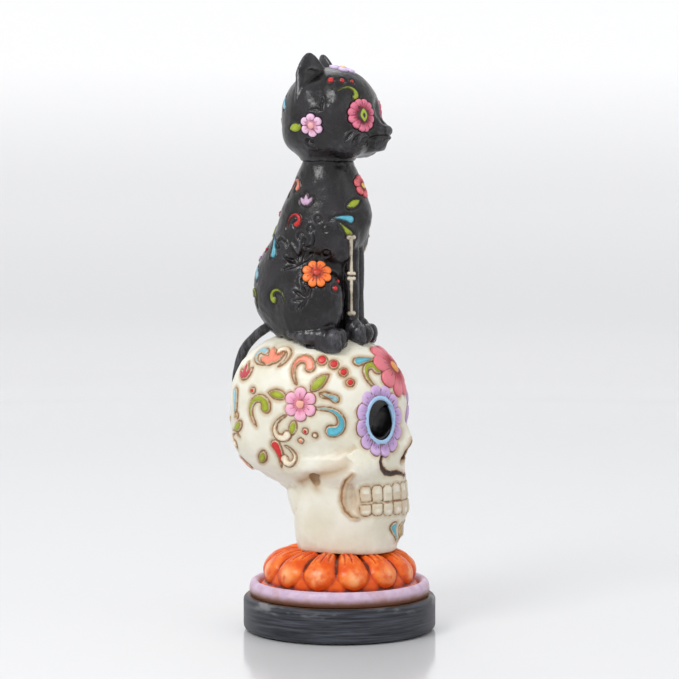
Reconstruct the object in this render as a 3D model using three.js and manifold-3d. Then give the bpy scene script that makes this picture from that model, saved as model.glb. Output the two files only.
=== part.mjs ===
// A painted cast-resin figurine: a seated cat on a decorated skull, in a flower collar on a round plinth.
// Millimetres, +Z up, the face looks along -Y, and the origin is the middle of the underside.
import * as THREE from 'three';
import { mergeVertices } from 'three/addons/utils/BufferGeometryUtils.js';
import Module from 'manifold-3d';

const wasm = await Module();
wasm.setup();

// Clearance between pieces that touch
const seatGap = 0.3;

// Felt pad and plinth
const plinthRadius = 34;
const plinthTop = 12.4;
const plinthEdgeRound = 1.7;
const feltThickness = 1.2;
const feltMargin = 4;
const feltRecessDepth = 1.1;

// Rim band
const bandOuterRadius = 31.9;
const bandWidth = 3.8;
const bandHeight = 5.2;

// Flower collar
const collarRadius = 27.4;
const collarTop = 28.4;
const collarShoulderRadius = 19;
const collarPetals = 13;
const collarTurnShare = 0.504;
const petalWidth = 13;
const petalLength = 19;
const petalThickness = 6.4;
const underPetalWidth = 8;

// Skull
const skullWidth = 45;
const skullLength = 64;
const skullHeight = 78;
const skullBlend = 10;
const skullFineBlend = 4;
const skullCarveBlend = 3;

// Cat: it sits sunk below the top of the skull, and its head is lifted above the top of its body
const catSeatSink = 6.7;
const catBodyWidth = 37;
const catBodyLength = 43;
const catBodyHeight = 68;
const catBodyBlend = 7;
const catBodyFineBlend = 1.6;
const catHeadWidth = 35.6;
const catHeadLength = 40;
const catHeadHeight = 33;
const catHeadBlend = 3.4;
const headSetback = 3.7;
const headLift = 13.3;
const earWidth = 20;
const earThickness = 12;
const earHeight = 17.5;
const earWall = 1.9;
const earRise = 5.2;
const forelegRadius = 2.6;
const shoulderDrop = 3.8;
const forepawWidth = 7;
const forepawLength = 9.6;
const forepawHeight = 8.6;
const hindpawWidth = 8.4;
const hindpawLength = 19;
const hindpawHeight = 9;
const pawSplay = 1.2;
const pawBlend = 0.7;
const tailRadius = 1.7;

// Steel pins that hold the castings together
const mainPinRadius = 2.5;
const mainPinLength = 40;
const catPinRadius = 1.6;
const catPinLength = 30;
const neckPinRadius = 1.5;
const neckPinLength = 22;
const tailPinRadius = 0.6;
const tailPinLength = 9;

// Raised flowers
const reliefHeight = 0.7;
const skullEyeFlowerRadius = 9.6;
const skullSideFlowerRadius = 5.8;
const foreheadFlowerRadius = 10.4;
const catEyeFlowerRadius = 5.8;
const cheekFlowerRadius = 4.1;
const haunchFlowerRadius = 5.1;
const crownFlowerRadius = 4.8;
const chestFlowerRadius = 4.3;

// Where the skull and the cat sit
const skullSeatHeight = collarTop + seatGap;
const catSeatHeight = skullSeatHeight + skullHeight - catSeatSink;

// Smooth union of two distances, and of a distance with a hollow taken out
function join(a, b, blend) {
  const h = Math.max(blend - Math.abs(a - b), 0) / blend;
  return Math.min(a, b) - (h * h * blend) / 4;
}
const hollow = (a, b, blend) => -join(-a, b, blend);

// Distance from a rounded lump: its place and its half-sizes are shares of the piece's width, length
// and height. Lumps off the middle come in pairs, one on each side.
function lump(p, size, shares) {
  const [px, py, pz, rx, ry, rz, power = 2] = shares;
  const across = px === 0 ? p.x : Math.abs(p.x);
  const d = [across - px * size.x, p.y - py * size.y, p.z - pz * size.z];
  const r = [rx * size.x, ry * size.y, rz * size.z];
  const norm = d.reduce((sum, v, i) => sum + Math.abs(v / r[i]) ** power, 0) ** (1 / power);
  const slope = Math.hypot(...d.map((v, i) => v / (r[i] * r[i])));
  const plain = Math.hypot(...d.map((v, i) => v / r[i]));
  return slope === 0 ? -Math.min(...r) : ((norm - 1) * plain) / slope;
}

const weldTolerance = 1e-4;

// How far out from the centre, along a direction, a field stays negative
const marchStep = 0.4;
const marchCaution = 0.4;
const marchReach = 2 * skullHeight;
const halvings = 16;
function reach(field, centre, direction, level = 0) {
  const p = new THREE.Vector3();
  const at = (t) => field(p.copy(direction).multiplyScalar(t).add(centre)) - level;
  let inside = 0;
  let outside = 0;
  let depth = at(0);
  while (depth < 0 && outside < marchReach) {
    inside = outside;
    outside += Math.max(marchStep, -depth * marchCaution);
    depth = at(outside);
  }
  for (let i = 0; i < halvings; i++) {
    const middle = (inside + outside) / 2;
    if (at(middle) < 0) inside = middle;
    else outside = middle;
  }
  return inside;
}

// A sculpted piece: a ball of even triangles, each corner pushed out to the field's surface.
// The counts say how often each edge of the ball is split.
const splits = { skull: 11, catBody: 9, catHead: 9, paw: 4 };
function sculpt(field, centre, split, level = 0) {
  const ball = new THREE.IcosahedronGeometry(1, split);
  ball.deleteAttribute('normal');
  ball.deleteAttribute('uv');
  const g = mergeVertices(ball, weldTolerance);
  const at = g.getAttribute('position');
  const v = new THREE.Vector3();
  for (let i = 0; i < at.count; i++) {
    v.fromBufferAttribute(at, i).normalize();
    v.multiplyScalar(reach(field, centre, v, level)).add(centre);
    at.setXYZ(i, v.x, v.y, v.z);
  }
  return g;
}

// three.js geometry to a solid for cutting and joining, and back
function solid(geometry) {
  const g = geometry.clone();
  g.deleteAttribute('normal');
  g.deleteAttribute('uv');
  const merged = mergeVertices(g, weldTolerance);
  return new wasm.Manifold(new wasm.Mesh({
    numProp: 3,
    vertProperties: new Float32Array(merged.getAttribute('position').array),
    triVerts: new Uint32Array(merged.index.array),
  }));
}

function geometryOf(manifold) {
  const m = manifold.getMesh();
  const g = new THREE.BufferGeometry();
  const xyz = new Float32Array(m.numVert * 3);
  for (let i = 0; i < m.numVert; i++) {
    xyz.set(m.vertProperties.subarray(i * m.numProp, i * m.numProp + 3), i * 3);
  }
  g.setAttribute('position', new THREE.BufferAttribute(xyz, 3));
  g.setIndex(new THREE.BufferAttribute(new Uint32Array(m.triVerts), 1));
  const flat = g.toNonIndexed();
  flat.computeVertexNormals();
  return flat;
}

// What a cut leaves of a piece, without the crumbs
const largest = (manifold) => manifold.decompose().sort((a, b) => b.volume() - a.volume())[0];

// A round bar between two points, for pins and for the holes that take them
const pinSides = 16;
function bar(from, to, radius) {
  const length = from.distanceTo(to);
  const g = new THREE.CylinderGeometry(radius, radius, length, pinSides);
  const turn = new THREE.Quaternion().setFromUnitVectors(
    new THREE.Vector3(0, 1, 0), to.clone().sub(from).normalize());
  return g.applyQuaternion(turn).translate(...from.clone().add(to).multiplyScalar(0.5));
}

// A level slab wider than anything that it cuts, between two heights
const slabSides = 12;
function slab(from, to) {
  const g = new THREE.CylinderGeometry(2 * plinthRadius, 2 * plinthRadius, to - from, slabSides);
  return solid(g.rotateX(Math.PI / 2).translate(0, 0, (from + to) / 2));
}

const sides = { right: -1, left: 1 };
const figurine = new THREE.Group();
function add(name, geometry, { colour, roughness = 0.6, metalness = 0 }) {
  const material = new THREE.MeshStandardMaterial({ color: colour, roughness, metalness });
  const mesh = new THREE.Mesh(geometry, material);
  mesh.name = name;
  figurine.add(mesh);
  return mesh;
}

const paints = {
  black: { colour: 0x26282c, roughness: 0.55 },
  bone: { colour: 0xe6dfcb, roughness: 0.5 },
  orange: { colour: 0xe0561c, roughness: 0.45 },
  lilac: { colour: 0xc9b4d6, roughness: 0.5 },
  pink: { colour: 0xe58fb0, roughness: 0.5 },
  rose: { colour: 0xd2566f, roughness: 0.5 },
  felt: { colour: 0x1c1c1e, roughness: 0.95 },
  steel: { colour: 0xa8abb0, roughness: 0.35, metalness: 1 },
};

// Rounded corner of a turned profile, as points on a quarter circle
const cornerSteps = 3;
function corner(r, z, round, fromDegrees) {
  return Array.from({ length: cornerSteps + 1 }, (_, i) => {
    const a = THREE.MathUtils.degToRad(fromDegrees + (90 * i) / cornerSteps);
    return new THREE.Vector2(r + round * Math.cos(a), z + round * Math.sin(a));
  });
}

// A lathe turns about Y, so the result is stood up to turn about Z
const turned = (points, sides) => new THREE.LatheGeometry(points, sides).rotateX(Math.PI / 2);

// Pins: the main one runs from the plinth through the collar into the skull
const mainPinBottom = plinthTop / 2;
const mainPinAxis = [new THREE.Vector3(0, 0, mainPinBottom),
  new THREE.Vector3(0, 0, mainPinBottom + mainPinLength)];
const catPinSetbackShare = 0.256;
const catPinSetback = catBodyLength * catPinSetbackShare;
const catPinDepthShare = 0.33;
const catPinBottom = catSeatHeight - catPinLength * catPinDepthShare;
const catPinAxis = [new THREE.Vector3(0, catPinSetback, catPinBottom),
  new THREE.Vector3(0, catPinSetback, catPinBottom + catPinLength)];
const neckPinHeightShare = 0.94;
const neckHeight = catSeatHeight + catBodyHeight * neckPinHeightShare;
const neckSetbackShare = 0.098;
const neckSetback = catBodyLength * neckSetbackShare;
const neckPinAxis = [new THREE.Vector3(0, neckSetback, neckHeight - neckPinLength / 2),
  new THREE.Vector3(0, neckSetback, neckHeight + neckPinLength / 2)];

// A hole for a pin, longer than the pin by the seat gap at each end
function pinHole([from, to], radius) {
  const along = to.clone().sub(from).normalize().multiplyScalar(seatGap);
  return solid(bar(from.clone().sub(along), to.clone().add(along), radius + seatGap));
}

// Plinth, with a shallow recess underneath for the felt
const roundSides = 56;
function plinthShape() {
  const bottom = feltThickness + seatGap - feltRecessDepth;
  const recessRadius = plinthRadius - feltMargin + seatGap;
  const recessTop = bottom + feltRecessDepth;
  const e = plinthEdgeRound;
  const points = [
    new THREE.Vector2(0, recessTop),
    new THREE.Vector2(recessRadius, recessTop),
    new THREE.Vector2(recessRadius, bottom),
    ...corner(plinthRadius - e, bottom + e, e, -90),
    ...corner(plinthRadius - e, plinthTop - e, e, 0),
    new THREE.Vector2(0, plinthTop),
  ];
  return solid(turned(points, roundSides)).subtract(pinHole(mainPinAxis, mainPinRadius));
}

function feltShape() {
  const r = plinthRadius - feltMargin;
  return turned([new THREE.Vector2(0, 0), new THREE.Vector2(r, 0),
    new THREE.Vector2(r, feltThickness), new THREE.Vector2(0, feltThickness)], roundSides);
}

// Rim band: a smooth rounded ring that lies on the plinth. Room makes its cutter larger all round.
const bandSteps = 6;
const bandLipShare = 0.35;
function bandShape(room = 0) {
  const bottom = plinthTop + seatGap;
  const middle = bandOuterRadius - bandWidth / 2;
  const half = bandWidth / 2 + room;
  const points = [];
  for (let i = 0; i <= bandSteps; i++) {
    const a = (Math.PI * i) / bandSteps;
    const rise = bandHeight * (bandLipShare + (1 - bandLipShare) * Math.sin(a));
    points.push(new THREE.Vector2(middle + half * Math.cos(a), bottom + rise + room));
  }
  points.push(new THREE.Vector2(middle - half, bottom - room));
  points.push(new THREE.Vector2(middle + half, bottom - room));
  points.push(points[0].clone());
  return turned(points, roundSides);
}

// Flower collar: a low dome, with one round of full petals and a round of smaller ones between them
const petalSides = 8;
const petalTuck = 0.1;
const petalRiseShare = 0.25;
const underPetalSinkShare = 0.17;
const collarSlopeTop = collarTop - petalThickness * petalRiseShare;
const collarSlopeBottom = plinthTop + seatGap + bandHeight;
const collarSlope = Math.atan2(collarSlopeTop - collarSlopeBottom, collarRadius - collarShoulderRadius);
function collarPetal(width, turnShare, sunk) {
  const g = new THREE.SphereGeometry(1, petalSides, petalSides - 2).rotateY(Math.PI / 2);
  g.scale(petalLength / 2, width / 2, petalThickness / 2).rotateY(collarSlope + petalTuck);
  const r = (collarRadius + collarShoulderRadius) / 2 - sunk;
  g.translate(r, 0, (collarSlopeTop + collarSlopeBottom) / 2 - sunk);
  return solid(g.rotateZ(2 * Math.PI * turnShare));
}
function collarShape() {
  const bottom = plinthTop + seatGap;
  let shape = solid(turned([
    new THREE.Vector2(0, bottom),
    new THREE.Vector2(collarRadius, bottom),
    new THREE.Vector2(collarRadius, collarSlopeBottom),
    new THREE.Vector2(collarShoulderRadius, collarSlopeTop),
    new THREE.Vector2(0, collarTop),
  ], roundSides / 2));
  for (let i = 0; i < collarPetals; i++) {
    const turnShare = collarTurnShare + i / collarPetals;
    const betweenShare = turnShare + 0.5 / collarPetals;
    shape = shape.add(collarPetal(petalWidth, turnShare, 0));
    shape = shape.add(collarPetal(underPetalWidth, betweenShare, petalThickness * underPetalSinkShare));
  }
  return shape.subtract(slab(collarTop, collarTop + petalLength)).subtract(slab(0, bottom))
    .subtract(solid(bandShape(seatGap))).subtract(pinHole(mainPinAxis, mainPinRadius));
}

// Skull: lumps as shares of its width, length and height, from the middle of its seat on the collar.
// Each row gives the place across, along and up, the half-sizes the same way, and how square the lump is.
const skullLumpShares = {
  cranium: [0, 0.127, 0.656, 0.5, 0.489, 0.335, 2.25],
  occiput: [0, 0.32, 0.475, 0.32, 0.235, 0.15],
  upperJaw: [0, -0.13, 0.34, 0.3, 0.205, 0.21, 2.2],
  lowerJaw: [0, -0.045, 0.135, 0.33, 0.287, 0.32, 2.5],
};
const skullDetailShares = {
  brow: [0, -0.18, 0.63, 0.36, 0.165, 0.1, 2.2],
  cheekbone: [0.25, -0.13, 0.405, 0.17, 0.17, 0.075],
  cheekArch: [0.3, 0.02, 0.385, 0.13, 0.24, 0.05],
  noseBridge: [0, -0.31, 0.475, 0.1, 0.085, 0.085],
  toothRow: [0, -0.165, 0.19, 0.285, 0.2, 0.08, 2.3],
};
const skullHollowShares = {
  temple: [0.6, -0.17, 0.56, 0.15, 0.13, 0.12],
};

// Openings cut into the skull afterwards: place and half-sizes as shares, then how far each is
// turned about Z and slanted about its own outward line
const orbitShares = [0.25, -0.3, 0.6, 0.1, 0.09, 0.078];
const orbitTurn = THREE.MathUtils.degToRad(25);
const orbitSlant = THREE.MathUtils.degToRad(-22);
const nostrilShares = [0.045, -0.395, 0.4, 0.035, 0.05, 0.042];
const nostrilTurn = THREE.MathUtils.degToRad(12);
const nostrilSlant = THREE.MathUtils.degToRad(20);
const earHoleShares = [0.39, 0.055, 0.325, 0.06, 0.03, 0.035];
const cheekPocketShares = [0.4, -0.15, 0.235, 0.09, 0.055, 0.105];
const scoopSides = 14;

const skullSize = new THREE.Vector3(skullWidth, skullLength, skullHeight);
const skullSeat = new THREE.Vector3(0, 0, skullSeatHeight);
const skullCentreShares = [0, -0.02, 0.5];
const skullCentre = new THREE.Vector3(...skullCentreShares).multiply(skullSize).add(skullSeat);

const skullPoint = new THREE.Vector3();
function skullField(world) {
  const p = skullPoint.copy(world).sub(skullSeat);
  let d = Infinity;
  for (const s of Object.values(skullLumpShares)) d = join(d, lump(p, skullSize, s), skullBlend);
  for (const s of Object.values(skullDetailShares)) d = join(d, lump(p, skullSize, s), skullFineBlend);
  for (const s of Object.values(skullHollowShares)) d = hollow(d, lump(p, skullSize, s), skullCarveBlend);
  return d;
}
function skullScoop(shares, side, turn, slant) {
  const [px, py, pz, rx, ry, rz] = shares;
  const g = new THREE.SphereGeometry(1, scoopSides, scoopSides / 2).rotateX(Math.PI / 2);
  g.scale(rx * skullWidth, ry * skullLength, rz * skullHeight).rotateY(side * slant).rotateZ(side * turn);
  return solid(g.translate(side * px * skullWidth, py * skullLength, skullSeat.z + pz * skullHeight));
}
const skullBlank = (level) => solid(sculpt(skullField, skullCentre, splits.skull, level));
function skullShape() {
  let shape = skullBlank(0).subtract(slab(0, skullSeat.z));
  for (const side of Object.values(sides)) {
    shape = shape.subtract(skullScoop(orbitShares, side, orbitTurn, orbitSlant))
      .subtract(skullScoop(nostrilShares, side, nostrilTurn, nostrilSlant))
      .subtract(skullScoop(earHoleShares, side, 0, 0))
      .subtract(skullScoop(cheekPocketShares, side, 0, 0));
  }
  return shape.subtract(pinHole(mainPinAxis, mainPinRadius)).subtract(pinHole(catPinAxis, catPinRadius));
}

// Cat body: torso, neck and haunches, hollowed underneath to the top of the skull
const bodyLumpShares = {
  chest: [0, 0.107, 0.676, 0.324, 0.372, 0.213],
  neck: [0, 0.1, 0.88, 0.27, 0.24, 0.15],
  back: [0, 0.21, 0.53, 0.32, 0.3, 0.2],
  rump: [0, 0.32, 0.3, 0.4, 0.405, 0.29],
  seat: [0, 0.23, 0.1, 0.4, 0.25, 0.13],
};
const bodyDetailShares = {
  haunch: [0.284, 0.17, 0.24, 0.211, 0.275, 0.22],
  shoulder: [0.17, -0.03, 0.6, 0.15, 0.17, 0.16],
};
const bodySize = new THREE.Vector3(catBodyWidth, catBodyLength, catBodyHeight);
const bodySeat = new THREE.Vector3(0, 0, catSeatHeight);
const bodyCentreShares = [0, 0.18, 0.42];
const bodyCentre = new THREE.Vector3(...bodyCentreShares).multiply(bodySize).add(bodySeat);
function bodyField(world) {
  const p = new THREE.Vector3().copy(world).sub(bodySeat);
  let d = Infinity;
  for (const s of Object.values(bodyLumpShares)) d = join(d, lump(p, bodySize, s), catBodyBlend);
  for (const s of Object.values(bodyDetailShares)) d = join(d, lump(p, bodySize, s), catBodyFineBlend);
  return Math.max(d, seatGap - skullField(world));
}
const bodyBlank = (level) => solid(sculpt(bodyField, bodyCentre, splits.catBody, level));
const bodyShape = () => bodyBlank(0).subtract(pinHole(catPinAxis, catPinRadius))
  .subtract(pinHole(neckPinAxis, neckPinRadius)).subtract(pinHole(tailPinAxis, tailPinRadius));

// Cat head: a ball with cheeks and a pointed muzzle, hollowed underneath to the neck
const headLumpShares = {
  ball: [0, -0.015, 0.02, 0.5, 0.425, 0.49],
  cheek: [0.22, -0.24, -0.24, 0.22, 0.17, 0.21],
  nape: [0, 0.165, -0.2, 0.34, 0.235, 0.23],
  noseBridge: [0, -0.31, -0.13, 0.11, 0.16, 0.12],
  muzzle: [0, -0.43, -0.18, 0.14, 0.15, 0.13],
  chin: [0, -0.34, -0.3, 0.12, 0.13, 0.1],
};
const headSize = new THREE.Vector3(catHeadWidth, catHeadLength, catHeadHeight);
const headCentre = new THREE.Vector3(0, headSetback, catSeatHeight + catBodyHeight + headLift);
function headField(world) {
  const p = new THREE.Vector3().copy(world).sub(headCentre);
  let d = Infinity;
  for (const s of Object.values(headLumpShares)) d = join(d, lump(p, headSize, s), catHeadBlend);
  return Math.max(d, seatGap - bodyField(world));
}
const headBlank = (level) => solid(sculpt(headField, headCentre, splits.catHead, level));
const headShape = () => headBlank(0).subtract(pinHole(neckPinAxis, neckPinRadius));

// Ears: flattened cones that lean inwards, scooped out on the side that faces outwards and forwards.
// The foot and the middle of each are placed across and along from the middle of the head.
const earFootShares = [0.258, 0.0225];
const earMiddleShares = [0.23, 0.065];
const earSides = 16;
const earTipShare = 0.22;
const earScoopShare = 0.3;
const earTurn = THREE.MathUtils.degToRad(52);
function earCone(shrink) {
  const root = earWidth / 2 - shrink;
  return new THREE.CylinderGeometry(earTipShare * root, root, earHeight, earSides)
    .rotateX(Math.PI / 2).scale(1, earThickness / earWidth, 1);
}
function earShape(side, head) {
  const scoop = earCone(earWall).translate(0, -earScoopShare * earThickness, earWall);
  const [footX, footY] = earFootShares;
  const [middleX, middleY] = earMiddleShares;
  const lean = new THREE.Vector3(
    2 * side * (middleX - footX) * catHeadWidth, 2 * (middleY - footY) * catHeadLength, earHeight);
  const up = new THREE.Vector3(0, 0, 1);
  const g = geometryOf(solid(earCone(0)).subtract(solid(scoop)));
  g.rotateZ(side * earTurn);
  g.applyQuaternion(new THREE.Quaternion().setFromUnitVectors(up, lean.normalize()));
  g.translate(side * middleX * catHeadWidth, headCentre.y + middleY * catHeadLength,
    headCentre.z + catHeadHeight / 2 + earRise - earHeight / 2);
  return largest(solid(g).subtract(head));
}

// Forelegs: a round leg from the shoulder down, which ends in a paw with toes.
// The legs and the hind paws are placed across and along from the middle of the cat's seat.
const forelegPlaceShares = [0.078, -0.123];
const hindpawPlaceShares = [0.362, 0.056];
const legSides = 12;
const legRoundSteps = 3;
const toeCount = 4;
const toeRowShare = 0.84;
const pawBackShare = 0.2;
const hindpawRiseShare = 0.3;
const pawHeelShares = [0, 0.12, 0, 0.46, 0.38, 0.46];
const toeShares = [0, -0.22, -0.08, 0.15, 0.27, 0.36];
function pawShape(width, length, height, centre) {
  const size = new THREE.Vector3(width, length, height);
  const field = (world) => {
    const p = new THREE.Vector3().copy(world).sub(centre);
    let d = lump(p, size, pawHeelShares);
    for (let i = 0; i < toeCount; i++) {
      const share = (i + 0.5) / toeCount - 0.5;
      const q = p.clone();
      q.x -= share * width * toeRowShare;
      d = join(d, lump(q, size, toeShares), pawBlend);
    }
    return d;
  };
  return solid(sculpt(field, centre, splits.paw));
}

function forelegShape(side, skull, body) {
  const x = side * forelegPlaceShares[0] * catBodyWidth;
  const y = forelegPlaceShares[1] * catBodyLength;
  const pawMiddle = catSeatHeight + forepawHeight / 2;
  const top = catSeatHeight + bodyDetailShares.shoulder[2] * catBodyHeight - shoulderDrop;
  const straight = top - pawMiddle - forelegRadius;
  const leg = new THREE.CapsuleGeometry(forelegRadius, straight, legRoundSteps, legSides)
    .rotateX(Math.PI / 2).translate(x, y, pawMiddle + straight / 2);
  const pawCentre = new THREE.Vector3(x + side * pawSplay, y - forepawLength * pawBackShare, pawMiddle);
  const paw = pawShape(forepawWidth, forepawLength, forepawHeight, pawCentre);
  return largest(solid(leg).add(paw).subtract(body).subtract(skull));
}
function hindpawShape(side, skull, body, foreleg) {
  const centre = new THREE.Vector3(side * hindpawPlaceShares[0] * catBodyWidth,
    hindpawPlaceShares[1] * catBodyLength, catSeatHeight + hindpawHeight * hindpawRiseShare);
  return largest(pawShape(hindpawWidth, hindpawLength, hindpawHeight, centre)
    .subtract(body).subtract(skull).subtract(foreleg));
}

// Tail: a round bar that leaves the rump, hangs clear of the skull and lies against its back
const tailSteps = 22;
const tailSides = 10;
const tailRouteShares = [
  [0, 0.5, 0.13], [0, 0.616, 0.097], [0.005, 0.72, 0.053], [0.027, 0.823, -0.01],
  [0.065, 0.893, -0.097], [0.108, 0.928, -0.184], [0.14, 0.93, -0.25],
];
const tailPlace = (shares) => new THREE.Vector3(...shares).multiply(bodySize).add(bodySeat);
const tailRoute = tailRouteShares.map(tailPlace);
const tailPinAxis = [tailRoute[0].clone(), tailRoute[0].clone()
  .addScaledVector(tailRoute[1].clone().sub(tailRoute[0]).normalize(), tailPinLength)];
function tailShape(skull, body) {
  const section = new THREE.Shape(Array.from({ length: tailSides }, (_, i) => {
    const a = (2 * Math.PI * i) / tailSides;
    return new THREE.Vector2(tailRadius * Math.cos(a), tailRadius * Math.sin(a));
  }));
  const rod = new THREE.ExtrudeGeometry(section, {
    steps: tailSteps, extrudePath: new THREE.CatmullRomCurve3(tailRoute), bevelEnabled: false,
  });
  const tip = new THREE.SphereGeometry(tailRadius, tailSides, tailSides / 2);
  tip.translate(...tailRoute.at(-1));
  return largest(solid(rod).add(solid(tip)).subtract(body).subtract(skull)
    .subtract(pinHole(tailPinAxis, tailPinRadius)));
}

// Raised flowers: a scalloped outline with its height, laid over the piece that carries it.
// The gap keeps it clear of that piece.
const reliefMiddleShare = 0.55;
const sidesPerPetal = 4;
const gradientStep = 0.05;
function outwardAt(field, point) {
  const n = new THREE.Vector3();
  for (const axis of ['x', 'y', 'z']) {
    const high = point.clone();
    const low = point.clone();
    high[axis] += gradientStep;
    low[axis] -= gradientStep;
    n[axis] = field(high) - field(low);
  }
  return n.normalize();
}
function towards(turnDegrees, riseDegrees) {
  const turn = THREE.MathUtils.degToRad(turnDegrees);
  const rise = THREE.MathUtils.degToRad(riseDegrees);
  const level = Math.cos(rise);
  return new THREE.Vector3(Math.sin(turn) * level, -Math.cos(turn) * level, Math.sin(rise));
}
function groundAt(field, centre, direction) {
  return direction.clone().multiplyScalar(reach(field, centre, direction)).add(centre);
}
function reliefShape(flower) {
  const { field, centre, turn, rise, radius, petals, notchShare } = flower;
  const { stretchShare = 1, holeShare = 0 } = flower;
  const middleShare = holeShare ? (1 + holeShare) / 2 : reliefMiddleShare;
  const shares = [holeShare, middleShare, 1];
  const profile = shares.map((share) => new THREE.Vector2(share, 0));
  profile.push(...shares.reverse().map((share) => new THREE.Vector2(share, reliefHeight)));
  if (holeShare) profile.push(profile[0].clone());
  const g = new THREE.LatheGeometry(profile, petals * sidesPerPetal);
  const at = g.getAttribute('position');
  const foot = groundAt(field, centre, towards(turn, rise));
  const normal = outwardAt(field, foot);
  const across = new THREE.Vector3(0, 0, 1).cross(normal).normalize();
  if (turn === 0) across.set(1, 0, 0);
  const up = normal.clone().cross(across);
  const v = new THREE.Vector3();
  for (let i = 0; i < at.count; i++) {
    v.fromBufferAttribute(at, i);
    const share = Math.hypot(v.x, v.z);
    const angle = Math.atan2(v.x, v.z);
    const scallop = 1 - Math.sqrt(Math.abs(Math.sin((petals * angle) / 2)));
    const r = radius * share * (1 - notchShare * scallop * share);
    const place = foot.clone().addScaledVector(across, r * Math.cos(angle));
    place.addScaledVector(up, r * stretchShare * Math.sin(angle));
    const ground = groundAt(field, centre, place.sub(centre).normalize());
    ground.addScaledVector(outwardAt(field, ground), seatGap + v.y);
    at.setXYZ(i, ground.x, ground.y, ground.z);
  }
  return g;
}

const onSkull = { field: skullField, centre: skullCentre };
const onBody = { field: bodyField, centre: bodyCentre };
const onHead = { field: headField, centre: headCentre };
const pairedFlowers = {
  skull_eye_flower: { ...onSkull, turn: 32.5, rise: 21.3, radius: skullEyeFlowerRadius, petals: 12,
    notchShare: 0.13, stretchShare: 1.38, holeShare: 0.48, paint: paints.lilac },
  skull_side_flower: { ...onSkull, turn: 110, rise: 31, radius: skullSideFlowerRadius, petals: 6,
    notchShare: 0.33, paint: paints.pink },
  cat_eye_flower: { ...onHead, turn: 32.5, rise: -0.5, radius: catEyeFlowerRadius, petals: 10,
    notchShare: 0.13, paint: paints.rose },
  cat_cheek_flower: { ...onHead, turn: 93, rise: -11.9, radius: cheekFlowerRadius, petals: 6,
    notchShare: 0.33, paint: paints.pink },
  cat_haunch_flower: { ...onBody, turn: 74, rise: -6, radius: haunchFlowerRadius, petals: 8,
    notchShare: 0.28, paint: paints.orange },
};
const middleFlowers = {
  skull_forehead_flower: { ...onSkull, turn: 0, rise: 54.5, radius: foreheadFlowerRadius, petals: 8,
    notchShare: 0.25, paint: paints.rose },
  cat_crown_flower: { ...onHead, turn: 0, rise: 74, radius: crownFlowerRadius, petals: 6,
    notchShare: 0.3, paint: paints.lilac },
  cat_chest_flower: { ...onBody, turn: 0, rise: 60.5, radius: chestFlowerRadius, petals: 6,
    notchShare: 0.3, paint: paints.rose },
};

// Put together from the bottom up
add('felt_pad', feltShape(), paints.felt);
add('plinth', geometryOf(plinthShape()), paints.black);
add('rim_band', bandShape(), paints.lilac);
add('flower_collar', geometryOf(collarShape()), paints.orange);
add('skull', geometryOf(skullShape()), paints.bone);
add('cat_body', geometryOf(bodyShape()), paints.black);
add('cat_head', geometryOf(headShape()), paints.black);
const skullRoom = skullBlank(seatGap);
const bodyRoom = bodyBlank(seatGap);
const headRoom = headBlank(seatGap);
for (const [name, side] of Object.entries(sides)) {
  const foreleg = forelegShape(side, skullRoom, bodyRoom);
  add(`cat_foreleg_${name}`, geometryOf(foreleg), paints.black);
  add(`cat_hind_paw_${name}`, geometryOf(hindpawShape(side, skullRoom, bodyRoom, foreleg)), paints.black);
  add(`cat_ear_${name}`, geometryOf(earShape(side, headRoom)), paints.black);
}
add('cat_tail', geometryOf(tailShape(skullRoom, bodyRoom)), paints.black);
add('main_pin', bar(...mainPinAxis, mainPinRadius), paints.steel);
add('cat_pin', bar(...catPinAxis, catPinRadius), paints.steel);
add('neck_pin', bar(...neckPinAxis, neckPinRadius), paints.steel);
add('tail_pin', bar(...tailPinAxis, tailPinRadius), paints.steel);
for (const [flower, { paint, ...shape }] of Object.entries(pairedFlowers)) {
  for (const [name, side] of Object.entries(sides)) {
    add(`${flower}_${name}`, reliefShape({ ...shape, turn: side * shape.turn }), paint);
  }
}
for (const [flower, { paint, ...shape }] of Object.entries(middleFlowers)) {
  add(flower, reliefShape(shape), paint);
}

export default figurine;
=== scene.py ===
"""A painted cast figurine: a black cat seated on a sugar skull, in a collar of petals on a round plinth."""

from math import atan2, cos, exp, hypot, pi, radians, sin, sqrt

import bmesh
import bpy
import numpy as np
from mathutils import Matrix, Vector, noise
from mathutils.bvhtree import BVHTree


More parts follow.
